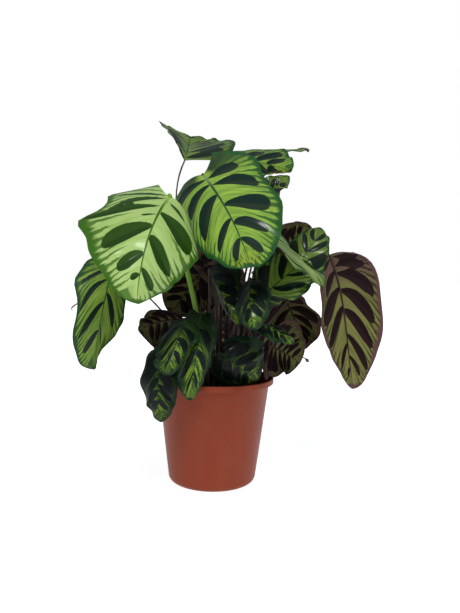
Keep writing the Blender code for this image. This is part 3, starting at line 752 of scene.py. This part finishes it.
# How fine three noises are: along the rib from oval to oval, across the blade, and from leaf to leaf
STREAKS = (9, 1.6, 31)
GRAINS = (38, 3.5, 57)
BLOTCHES = (5, 7, 43)
TIP_COUNT = (5, -3.94)  # steepness and start, so that it ends at 1.06 where the margin is full dark


def shaped(tree, value, none, full, *others):
    """A mask that grows smoothly from 0 where the value is none to 1 where it is full, times others."""
    mask = add_node(tree, "MapRange", {"Value": value, "From Min": none, "From Max": full},
                    interpolation_type="SMOOTHSTEP")
    for other in others:
        mask = add_node(tree, "Math", [mask, other], operation="MULTIPLY")
    return mask


def stretched_noise(tree, flow, scale, detail):
    drawn = add_node(tree, "VectorMath", [flow, scale], operation="MULTIPLY")
    return add_node(tree, "TexNoise", {"Vector": drawn, "Scale": 1, "Detail": detail, "Roughness": 0.6})


def line_mask(tree, count, blotch, u, across, seed):
    """Thin dark lines between the ovals. Each starts at its own place, nearer to the rib towards the
    tip, and widens to the margin."""
    sway = add_node(tree, "Math", [blotch, 0.5, -0.25], operation="MULTIPLY_ADD")
    lines = add_node(tree, "Math", [count, LINES_A_BAND, sway], operation="MULTIPLY_ADD")
    number = add_node(tree, "Math", [lines], operation="ROUND")
    off_line = add_node(tree, "Math", [lines, 0.5], operation="PINGPONG")
    half, chance = seed
    key = add_node(tree, "CombineXYZ", [number, half, chance])
    luck = add_node(tree, "TexWhiteNoise", {"Vector": key}, noise_dimensions="3D")
    earlier = add_node(tree, "MapRange", {"Value": u, "From Min": 0.7, "To Max": 0.4})
    begin = add_node(tree, "MapRange", {"Value": luck, "To Min": 0.25, "To Max": 0.7})
    begin = add_node(tree, "Math", [begin, earlier], operation="SUBTRACT")
    grown = add_node(tree, "MapRange", {"Value": across, "From Min": begin, "From Max": 1.05})
    widening = add_node(tree, "Math", [grown, 1.5], operation="POWER")
    thick = add_node(tree, "Math", [widening, 0.3, 0.07], operation="MULTIPLY_ADD")
    inside = add_node(tree, "Math", [thick, off_line], operation="SUBTRACT")
    return shaped(tree, inside, -0.02, 0.05, shaped(tree, grown, 0.0, 0.25))


def leaf_pattern(tree, wide):
    """Masks that draw the blade. Grain and blotch vary about 0.5, u is the place along the rib, and the
    others run from 0 to 1. Wide makes the ovals wider than they are listed. The dark margin runs round
    the tip too, so near the tip a steep count along the rib takes over from the place across."""
    place, mood, left, right = (
        add_node(tree, "Attribute", attribute_name=name).outputs["Vector"]
        for name in ("leaf_place", "leaf_mood", "left_ovals", "right_ovals"))
    u, v, chance = add_node(tree, "SeparateXYZ", [place]).outputs
    lobe_dark, tip_yellow, shade = add_node(tree, "SeparateXYZ", [mood]).outputs
    across = add_node(tree, "Math", [v], operation="ABSOLUTE")
    right_half = add_node(tree, "Math", [v, 0], operation="GREATER_THAN")
    among = add_node(tree, "Mix", {"Factor": right_half, "A": left, "B": right},
                     data_type="VECTOR").outputs[1]
    depth, off_axis, count = add_node(tree, "SeparateXYZ", [among]).outputs

    flow = add_node(tree, "CombineXYZ", [count, v, chance])
    streak = stretched_noise(tree, flow, STREAKS, 3)
    grain = stretched_noise(tree, flow, GRAINS, 2)
    blotch = stretched_noise(tree, flow, BLOTCHES, 2)

    ragged = add_node(tree, "Math", [grain, 0.3, depth], operation="MULTIPLY_ADD")
    near_tip = add_node(tree, "Math", [u, *TIP_COUNT], operation="MULTIPLY_ADD")
    outward = add_node(tree, "Math", [across, near_tip], operation="MAXIMUM")
    feather = add_node(tree, "Math", [streak, 0.24, outward], operation="MULTIPLY_ADD")
    inner = shaped(tree, across, 0.95, 0.55, shaped(tree, u, 0.15, 0.5))
    return {
        "oval": shaped(tree, ragged, 0.08 - wide, 0.24 - wide),
        # Which side of its oval's crease a point lies on, for the painted sheen and shade of that side.
        "crease_painted_side": shaped(tree, off_axis, -0.1, 0.15),
        "line": line_mask(tree, count, blotch, u, across, (right_half, chance)),
        "margin": shaped(tree, feather, 0.99, 1.07),
        "rib": shaped(tree, across, 0.03, 0.014),
        "lobe": shaped(tree, u, 0.14, 0.02, shaped(tree, across, 0.1, 0.3), lobe_dark),
        "tip": shaped(tree, u, 0.78, 0.97, tip_yellow),
        "glow": shaped(tree, streak, 0.47, 0.58, inner),
        "band": shaped(tree, streak, 0.3, 0.7),
        "shade": shade, "grain": grain, "blotch": blotch, "u": u,
    }


print(LINES_A_BAND, "thin lines from one oval to the next")

# %% [markdown]
# ## Two ages of upper face, and a shaded one
#
# A young blade is pale with mid-green ovals, and a full-grown one is a clear green with blue-black ovals.
# The leaves deep and low in the plant get a darkened version, which is painted shade. The three share
# one recipe with other colours. One side of each oval's crease is painted in another colour: greyer on
# full-grown and shaded leaves and on the lower face, a painted sheen, and darker on young ones, painted
# shade. On the shaded leaves the pale tissue has shrunk to yellow-green streaks that glow in the middle
# of each half. Living tissue has an IOR near 1.45, and its wax is a thin coat that is smoother than the
# tissue. The lower face has no wax to speak of: it is matt, and purple where the upper one is dark.

# %% Upper and lower faces
TISSUE_IOR = 1.45
VEINLET_HEIGHT = 0.12 * MM
WAX_SHARE = 0.15
WAX_ROUGHNESS = 0.16


def layered(tree, ground, layers):
    """A ground with colours laid over it in turn, each where its mask is and as strong as it says."""
    for colour, mask, strength in layers:
        ground = painted(tree, ground, colour, mask, strength)
    return ground


def upper_face(name, pale, deep, dark, dark_painted_crease, edge, rib, ripe, wide=0.0, glow=0.0):
    made, tree, shader, _ = new_material(name)
    mask = leaf_pattern(tree, wide)
    grain = mask["grain"]
    colour = layered(tree, pale, [
        (deep, mask["band"], 1),
        (deep, shaped(tree, grain, 0.4, 0.75), 0.45),
        (ripe, mask["glow"], glow),
        (ripe, mask["tip"], 1),
        (edge, shaped(tree, mask["blotch"], 0.5, 0.62, mask["tip"]), 1),
        (dark, mask["lobe"], 1),
        (edge, mask["line"], 0.85),
        (edge, mask["margin"], 1),
        # One side of each oval's crease in another colour: a painted sheen where greyer, painted shade
        # where darker.
        (painted(tree, dark, dark_painted_crease, mask["crease_painted_side"], 0.8), mask["oval"], 1),
        (painted(tree, rib, edge, shaped(tree, mask["u"], 0.03, 0.2)), mask["rib"], 1),
        # Painted shade: black over the whole face, as strong as the leaf's shade share.
        ("#000000", mask["shade"], 1),
    ])
    feed(tree, shader, {
        "Base Color": colour,
        "Roughness": add_node(tree, "MapRange", {"Value": grain, "To Min": 0.4, "To Max": 0.55}),
        "Normal": add_node(tree, "Bump", {"Height": grain, "Strength": 0.5, "Distance": VEINLET_HEIGHT}),
        "IOR": TISSUE_IOR,
        "Specular IOR Level": 0.1,
        "Coat Weight": WAX_SHARE,
        "Coat Roughness": WAX_ROUGHNESS,
    })
    return made


def under_face(name, olive, olive_dark, purple, purple_painted_crease, flush, rib, wide):
    made, tree, shader, _ = new_material(name)
    mask = leaf_pattern(tree, wide)
    colour = layered(tree, olive, [
        (olive_dark, mask["band"], 1),
        (flush, shaped(tree, mask["u"], 0.3, 0.08), 0.85),
        (purple, mask["line"], 0.8),
        (flush, mask["margin"], 1),
        # One side of each oval's crease is painted lighter: a painted sheen.
        (painted(tree, purple, purple_painted_crease, mask["crease_painted_side"], 0.7), mask["oval"], 1),
        (rib, mask["rib"], 1),
        # Painted shade: black over the whole face, as strong as the leaf's shade share.
        ("#000000", mask["shade"], 1),
    ])
    feed(tree, shader, {
        "Base Color": colour,
        "Roughness": 0.5,
        "Normal": add_node(tree, "Bump", {"Height": mask["grain"], "Strength": 0.6,
                                          "Distance": VEINLET_HEIGHT}),
        "IOR": TISSUE_IOR,
        "Specular IOR Level": 0.05,
    })
    return made


# The colour after dark is one side of each oval's crease: painted shade on the young face, a painted sheen
# on the others.
UPPER = {
    "young": upper_face(
        "young leaf tissue under wax", pale="#98b16c", deep="#86a056", dark="#203d08",
        dark_painted_crease="#173105", edge="#2f5610", rib="#7d9648", ripe="#9bb84e"),
    "mature": upper_face(
        "full-grown leaf tissue under wax", pale="#86a33e", deep="#5c7e2e", dark="#061f16",
        dark_painted_crease="#1d2a18", edge="#1a461c", rib="#65795a", ripe="#74842a"),
    # The dark face is a darkened version for leaves deep and low in the plant: painted shade.
    "dark": upper_face(
        "old leaf tissue under wax", pale="#223a14", deep="#12230e", dark="#040e0a",
        dark_painted_crease="#081613", edge="#0b2416", rib="#35542a", ripe="#678524", wide=0.1, glow=0.9),
}
UPPER["purple"] = UPPER["dark"]
# The colour after purple is one side of each oval's crease, painted lighter as a painted sheen.
UNDER = under_face(
    "purple underside tissue", olive="#6c6c3c", olive_dark="#54582e", purple="#170b0d",
    purple_painted_crease="#251416", flush="#4f3836", rib="#3a3020", wide=0.1)
print("tissues:", len(set(UPPER.values())), "upper and one under")

# %% [markdown]
# ## Stalk skin
#
# Stalks are smooth green rods. On most of them a purple-brown pigment covers the green, and it is drawn in
# fine lengthwise flecks. Each skin is painted darker towards the soil, by height alone.

# %% Stalk skin
FLECKS = (900, 900, 90)  # to the metre: each about 1 mm wide and 11 mm long
FLECK_HEIGHT = 0.1 * MM
LOW_SKIN = 0.2  # up to this height the skin has its low colour
HIGH_SKIN = 0.38


def stalk_skin(name, low, high, fleck):
    made, tree, shader, place = new_material(name)
    stretched = add_node(tree, "Mapping", {"Vector": place, "Scale": FLECKS})
    flecks = add_node(tree, "TexNoise", {"Vector": stretched, "Scale": 1, "Detail": 3})
    # Darker below LOW_SKIN and lighter above HIGH_SKIN, by height alone.
    height = add_node(tree, "MapRange", {
        "Value": add_node(tree, "SeparateXYZ", [place]).outputs[2],
        "From Min": LOW_SKIN, "From Max": HIGH_SKIN})
    feed(tree, shader, {
        "Base Color": layered(tree, low, [(high, height, 1),
                                          (fleck, shaped(tree, flecks, 0.45, 0.65), 0.6)]),
        "Roughness": 0.42,
        "Normal": add_node(tree, "Bump", {"Height": flecks, "Strength": 0.3, "Distance": FLECK_HEIGHT}),
        "IOR": TISSUE_IOR,
        "Specular IOR Level": 0.25,
    })
    return made


PURPLE_STALK = stalk_skin("purple-flushed stalk skin", low="#2a1814", high="#453527", fleck="#1e100f")
WITHERED_SKIN = stalk_skin("withered leaf tissue", low="#4a3b2a", high="#5c4a38", fleck="#241a14")
GREEN_STALK = stalk_skin("green stalk skin", low="#587c1c", high="#688f24", fleck="#4a6b1a")
print("skins:", PURPLE_STALK.name, "/", WITHERED_SKIN.name, "/", GREEN_STALK.name)

# %% [markdown]
# ## Withered bits
#
# Three of the leaves carry a withered bit: a curled shred at a torn margin, and two dry tips that end
# in a little knob. Each is a thread with its own radii, joined to its leaf. Places are in millimetres.

# %% Withered bits
WITHERED = {
    "leaf_left_hanging": (
        [(-137, -82, 209), (-141, -84, 208.5), (-144, -84, 206.3), (-146, -84, 204), (-145, -84, 200.7)],
        [0.5, 0.7, 0.9, 0.7, 0.2]),
    "leaf_right_rim": (
        [(97, -2, 150), (101, -1, 148.4), (106.5, -1, 145.8), (109, -1, 143.6), (110.4, -1, 141.4)],
        [0.5, 0.5, 0.7, 2.2, 0.9]),
    "leaf_top_right": (
        [(98, 74, 403), (104, 73.6, 404), (109, 73.6, 403.4), (111.5, 73.6, 401.8), (112.6, 73.6, 399.4)],
        [0.6, 1.0, 1.3, 2.2, 0.7]),
}
print("withered bits on", ", ".join(WITHERED))

# %% [markdown]
# ## All the leaves
#
# Each blade is bent, gets its two faces from material slots (the thickness step puts the lower face
# one slot on), and is joined with its stalk. The finished leaf stands for its solid.

# %% All the leaves
STALK_SLOT = 2  # after the upper and the lower face


def make_leaf(leaf):
    dress = DRESS.get(leaf.name, Dress())
    blade = bend_blade(leaf, dress)
    for finish in (UPPER[dress.tone or leaf.tone], UNDER, GREEN_STALK if dress.green else PURPLE_STALK):
        blade.data.materials.append(finish)
    thicken_blade(blade)
    stalk = make_stalk(leaf, dress)
    for finish in blade.data.materials:
        stalk.data.materials.append(finish)
    for face in stalk.data.polygons:
        face.material_index = STALK_SLOT
    pieces = [blade, stalk]
    if leaf.name in WITHERED:
        shred = tube(leaf.name + "_shred", *WITHERED[leaf.name])
        shred.data.materials.append(WITHERED_SKIN)
        pieces.append(shred)
    pick(*pieces)
    bpy.ops.object.join()
    bpy.ops.object.shade_smooth_by_angle(angle=math.radians(60))
    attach(blade, "root")
    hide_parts(leaf.name)
    return blade


leaves = [make_leaf(leaf) for leaf in LEAVES]
bpy.data.objects.remove(flat_leaf)
print(len(leaves), "leaves,", sum(len(leaf.data.polygons) for leaf in leaves), "faces")

# %% [markdown]
# ## The pot
#
# A nursery pot is injection-moulded polypropylene in one shot: a tapered wall that lets it leave the
# mould, a rim band that stiffens it and lets pots stack, and a raised floor with drain holes. Its
# section is drawn first, as radii and heights: from the middle of the floor's underside out, up the
# wall, over the rim and down the inside. Mouldings have no sharp edges, so each corner is rounded.

# %% The pot's section
POT_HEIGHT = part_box("pot")[1].z
RIM_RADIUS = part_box("pot")[1].x
RIM_BAND = 6.5 * MM
RIM_STEP = 5 * MM
RIM_EDGE = 1 * MM
BASE_RADIUS = 51.3 * MM
BASE_ROUND = 8 * MM
POT_WALL = 1.8 * MM
FLOOR_LIFT = 3 * MM
FOOT_RING = 4 * MM
FOOT_EDGE = 0.6 * MM
FOOT_BEVEL = 0.2 * MM
HUB_RADIUS = 14 * MM


def wall_radius(height):
    """Outer radius of the pot's tapered wall at a height."""
    top = POT_HEIGHT - RIM_BAND
    return BASE_RADIUS + (RIM_RADIUS - RIM_STEP - BASE_RADIUS) * (height - BASE_ROUND) / (top - BASE_ROUND)


def corner(centre, radius, start, end, steps):
    """Points of a round corner, with the angles in degrees."""
    angles = [math.radians(start + (end - start) * i / steps) for i in range(steps + 1)]
    return [(centre[0] + radius * math.cos(a), centre[1] + radius * math.sin(a)) for a in angles]


def pot_profile():
    """(radius, height) from the hub's underside round to the middle of the floor's upper face."""
    step_at = POT_HEIGHT - RIM_BAND
    foot = BASE_RADIUS - BASE_ROUND
    inner_round = BASE_ROUND - POT_WALL
    floor = FLOOR_LIFT + POT_WALL
    lip = POT_WALL / 2
    return [
        (HUB_RADIUS - FOOT_EDGE, 0),
        (HUB_RADIUS, FOOT_BEVEL),
        (HUB_RADIUS + FLOOR_LIFT, FLOOR_LIFT),
        (foot - FOOT_RING - FLOOR_LIFT, FLOOR_LIFT),
        (foot - FOOT_RING, FOOT_BEVEL),
        (foot - FOOT_RING + FOOT_EDGE, 0),
        *corner((foot, BASE_ROUND), BASE_ROUND, -90, 0, 8),
        (wall_radius(step_at - 1.2 * RIM_EDGE), step_at - 1.2 * RIM_EDGE),
        *corner((wall_radius(step_at) + RIM_EDGE, step_at - RIM_EDGE), RIM_EDGE, 180, 90, 3),
        *corner((RIM_RADIUS - RIM_EDGE, step_at + RIM_EDGE), RIM_EDGE, -90, 0, 4),
        *corner((RIM_RADIUS - lip, POT_HEIGHT - lip), lip, 0, 180, 8),
        *corner((RIM_RADIUS - POT_WALL - RIM_EDGE, step_at + POT_WALL + RIM_EDGE), RIM_EDGE, 0, -90, 3),
        *corner((wall_radius(step_at), step_at + lip - RIM_EDGE), POT_WALL, 90, 180, 3),
        *corner((foot, floor + inner_round), inner_round, 0, -90, 6),
        (HUB_RADIUS, floor),
    ]


print("the pot's section has", len(pot_profile()), "points")

# %% [markdown]
# The pot is modelled as a thrower would turn it: a ring is drawn out and resized from one point of the
# section to the next. Then the drain holes are cut with cylinders.

# %% Turning and drilling
POT_SIDES = 128
DRAIN_HOLES = 8
DRAIN_RADIUS = 4 * MM
DRAIN_CIRCLE = 27 * MM
DRILL_LENGTH = 30 * MM


def turn_rings(name, profile, sides):
    """Draws a ring from each point of the profile to the next, and closes both ends with a disc."""
    bpy.ops.object.select_all(action="DESELECT")
    radius, height = profile[0]
    bpy.ops.mesh.primitive_circle_add(
        vertices=sides, radius=radius, fill_type="NGON", location=(0, 0, height))
    turned = bpy.context.object
    turned.name = name
    bpy.ops.object.transform_apply(location=True, rotation=False, scale=False)
    bpy.ops.object.mode_set(mode="EDIT")
    bpy.ops.mesh.select_mode(type="EDGE")
    bpy.ops.mesh.select_all(action="SELECT")
    bpy.ops.mesh.region_to_loop()
    for next_radius, next_height in profile[1:]:
        bpy.ops.mesh.extrude_edges_move(TRANSFORM_OT_translate={"value": (0, 0, next_height - height)})
        grow = next_radius / radius
        bpy.ops.transform.resize(value=(grow, grow, 1), center_override=(0, 0, next_height))
        radius, height = next_radius, next_height
    bpy.ops.mesh.edge_face_add()
    bpy.ops.mesh.select_all(action="SELECT")
    bpy.ops.mesh.normals_make_consistent(inside=False)
    bpy.ops.object.mode_set(mode="OBJECT")
    return turned


def drill(piece, places, radius):
    """Cuts round holes down through a piece at the given places."""
    drills = []
    for x, y in places:
        bpy.ops.mesh.primitive_cylinder_add(
            vertices=32, radius=radius, depth=DRILL_LENGTH, location=(x, y, 0))
        drills.append(bpy.context.object)
    pick(*drills)
    bpy.ops.object.join()
    cut = piece.modifiers.new("drains", "BOOLEAN")
    cut.object = drills[0]
    apply_modifiers(piece)
    bpy.data.objects.remove(drills[0])


pot = turn_rings("pot_finish", pot_profile(), POT_SIDES)
angles = [2 * math.pi * (i + 0.5) / DRAIN_HOLES for i in range(DRAIN_HOLES)]
drill(pot, [(DRAIN_CIRCLE * math.cos(a), DRAIN_CIRCLE * math.sin(a)) for a in angles], DRAIN_RADIUS)
print("pot:", len(pot.data.polygons), "faces")

# %% [markdown]
# Moulded polypropylene coloured in the mass is satin: the mould was lightly etched, so it has a very
# fine grain and a broad soft highlight. The colour is even, with faint flow marks up the wall, and
# dust and handling have greyed it here and there.

# %% Moulded polypropylene
ETCH_GRAIN = 0.25 * MM
ETCH_DEPTH = 0.05 * MM
FLOW_MARKS = (60, 60, 9)  # to the metre: each some 17 mm wide and 110 mm high
DUST_PATCHES = 24  # to the metre
PLASTIC_IOR = 1.49


def moulded_plastic():
    made, tree, shader, place = new_material("moulded terracotta polypropylene")
    flow = add_node(tree, "Mapping", {"Vector": place, "Scale": FLOW_MARKS})
    flow_marks = add_node(tree, "TexNoise", {"Vector": flow, "Scale": 1, "Detail": 3})
    dust = add_node(tree, "TexNoise", {"Vector": place, "Scale": DUST_PATCHES, "Detail": 5})
    etch = add_node(tree, "TexNoise", {"Vector": place, "Scale": 1 / ETCH_GRAIN, "Detail": 1})
    feed(tree, shader, {
        "Base Color": layered(tree, "#7c3520", [("#702e1b", flow_marks, 1),
                                                ("#80503f", shaped(tree, dust, 0.5, 0.8), 0.12)]),
        "Roughness": add_node(tree, "MapRange", {"Value": dust, "To Min": 0.38, "To Max": 0.52}),
        "Normal": add_node(tree, "Bump", {"Height": etch, "Strength": 0.25, "Distance": ETCH_DEPTH}),
        "IOR": PLASTIC_IOR,
        "Specular IOR Level": 0.12,
    })
    return made


pick(pot)
bpy.ops.object.shade_smooth_by_angle(angle=math.radians(30))
pot.data.materials.append(moulded_plastic())
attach(pot, "root")
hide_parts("pot")
print("the pot is of", pot.data.materials[0].name)

# %% [markdown]
# ## The soil
#
# Potting mix is peat and coir: a dark, crumbly surface of lumps a few millimetres across with a few
# fibres on it. The block that fills the pot is turned like the pot and its top is roughened with a
# displacement, which leaves the edge at the pot's wall.

# %% Soil block
LUMP_HEIGHT = 2.4 * MM
LUMP_SIZE = 6 * MM
LUMP_FADE = 3 * MM  # the lumps fade out this close to the wall
SOIL_SIDES = 96
SOIL_RINGS = 34
FIT_GAP = 0.3 * MM
SOIL_EDGE = wall_radius(SOIL_LEVEL) - POT_WALL - 2 * FIT_GAP


def soil_profile():
    foot = BASE_RADIUS - BASE_ROUND
    floor = FLOOR_LIFT + POT_WALL + FIT_GAP
    inner_round = BASE_ROUND - POT_WALL
    rings = [SOIL_EDGE * (1 - i / SOIL_RINGS) for i in range(SOIL_RINGS)]
    heights = [SOIL_LEVEL + SOIL_CROWN * (1 - (radius / SOIL_EDGE) ** 2) for radius in rings]
    bottom = [(HUB_RADIUS, floor), *corner((foot - FIT_GAP, floor + inner_round), inner_round, -90, 0, 4)]
    return bottom + list(zip(rings, heights))


def roughen(soil):
    """Lifts the upper face into lumps, and leaves the sides at the wall."""
    top = soil.vertex_groups.new(name="top")
    for vertex in soil.data.vertices:
        radius = math.hypot(vertex.co.x, vertex.co.y)
        if vertex.co.z > SOIL_LEVEL - 0.1 * MM:
            top.add([vertex.index], min(1, (SOIL_EDGE - radius) / LUMP_FADE), "REPLACE")
    lumps = bpy.data.textures.new("crumb lumps", "CLOUDS")
    lumps.noise_scale = LUMP_SIZE
    lumps.noise_depth = 2
    lift = soil.modifiers.new("lumps", "DISPLACE")
    lift.texture = lumps
    lift.texture_coords = "LOCAL"
    lift.direction = "Z"
    lift.strength = LUMP_HEIGHT
    lift.vertex_group = "top"
    apply_modifiers(soil)


soil = turn_rings("soil_finish", soil_profile(), SOIL_SIDES)
roughen(soil)
print("soil:", len(soil.data.polygons), "faces")

# %% [markdown]
# Loose crumbs and coir fibres lie on the block. One crumb and one fibre are modelled, and copies of
# them in many sizes and turns are strewn over the soil by chance, as a potter's hand would strew them.

# %% Crumbs and fibres
CRUMBS = 520
FIBRES = 70
WALL_CLEARANCE = 5 * MM
FIBRE_WIDTH = 0.35 * MM
soil_random = random.Random("crumbs")


def soil_spot():
    """A random place on the soil's upper face, clear of the pot's wall."""
    radius = (wall_radius(SOIL_LEVEL) - WALL_CLEARANCE) * math.sqrt(soil_random.random())
    angle = soil_random.uniform(0, 2 * math.pi)
    level = SOIL_LEVEL + SOIL_CROWN * (1 - (radius / wall_radius(SOIL_LEVEL)) ** 2)
    return Vector((radius * math.cos(angle), radius * math.sin(angle), level))


def random_turn():
    tumbled, spun = (Matrix.Rotation(soil_random.uniform(0, 6.28), 3, axis) for axis in "XZ")
    return tumbled @ spun


def model_crumb():
    bpy.ops.mesh.primitive_ico_sphere_add(subdivisions=1, radius=1)
    crumb = bpy.context.object
    for vertex in crumb.data.vertices:
        vertex.co *= soil_random.uniform(0.65, 1.15)
    return crumb


def crumb_size():
    size = soil_random.uniform(0.7, 2.0) * MM
    return (size, size * soil_random.uniform(0.6, 1), size * soil_random.uniform(0.5, 0.9))


def model_fibre():
    bpy.ops.mesh.primitive_cylinder_add(vertices=5, radius=0.5, depth=1)
    fibre = bpy.context.object
    bpy.ops.object.mode_set(mode="EDIT")
    bpy.ops.mesh.subdivide(number_cuts=3)
    bpy.ops.object.mode_set(mode="OBJECT")
    for vertex in fibre.data.vertices:
        vertex.co.x += 1.1 * math.cos(2.4 * vertex.co.z)
    return fibre


def fibre_size():
    return (FIBRE_WIDTH, FIBRE_WIDTH, soil_random.uniform(5, 13) * MM)


def scatter(model, number, size_of):
    """Copies of a small model on the soil, as one mesh."""
    heap = bmesh.new()
    for _ in range(number):
        strewn = len(heap.verts)
        heap.from_mesh(model.data)
        size = Matrix.Diagonal(size_of())
        turn = random_turn() @ size
        spot = soil_spot()
        for vertex in heap.verts[strewn:]:
            vertex.co = turn @ vertex.co + spot
    bpy.data.objects.remove(model)
    mesh = bpy.data.meshes.new("scattered")
    heap.to_mesh(mesh)
    heap.free()
    scattered = bpy.data.objects.new("scattered", mesh)
    bpy.context.scene.collection.objects.link(scattered)
    return scattered


crumbs = scatter(model_crumb(), CRUMBS, crumb_size)
fibres = scatter(model_fibre(), FIBRES, fibre_size)
print(CRUMBS, "crumbs and", FIBRES, "fibres")

# %% [markdown]
# Moist peat is a dull, nearly black brown. Here and there a crumb has dried and is lighter, and the
# whole surface is rough at the size of a grain.

# %% Peat
CRUMB_SIZE = 2.2 * MM
GRIT_SIZE = 1.2 * MM
GRIT_HEIGHT = 0.8 * MM


def peat():
    made, tree, shader, place = new_material("moist peat and coir")
    cells = add_node(tree, "TexVoronoi", {"Vector": place, "Scale": 1 / CRUMB_SIZE})
    grit = add_node(tree, "TexNoise", {"Vector": place, "Scale": 1 / GRIT_SIZE, "Detail": 6})
    dry = add_node(tree, "SeparateColor", [cells.outputs["Color"]])
    feed(tree, shader, {
        "Base Color": layered(tree, "#1d1510", [("#3a2b20", grit, 1),
                                                ("#6a5340", shaped(tree, dry, 0.8, 0.95), 0.6)]),
        "Roughness": 0.92,
        "Normal": add_node(tree, "Bump", {"Height": grit, "Strength": 1, "Distance": GRIT_HEIGHT}),
    })
    return made


pick(soil, crumbs, fibres)
bpy.ops.object.join()
bpy.ops.object.shade_smooth_by_angle(angle=math.radians(50))
soil.data.materials.clear()
soil.data.materials.append(peat())
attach(soil, "root")
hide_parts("soil")
print("soil with crumbs:", len(soil.data.polygons), "faces")
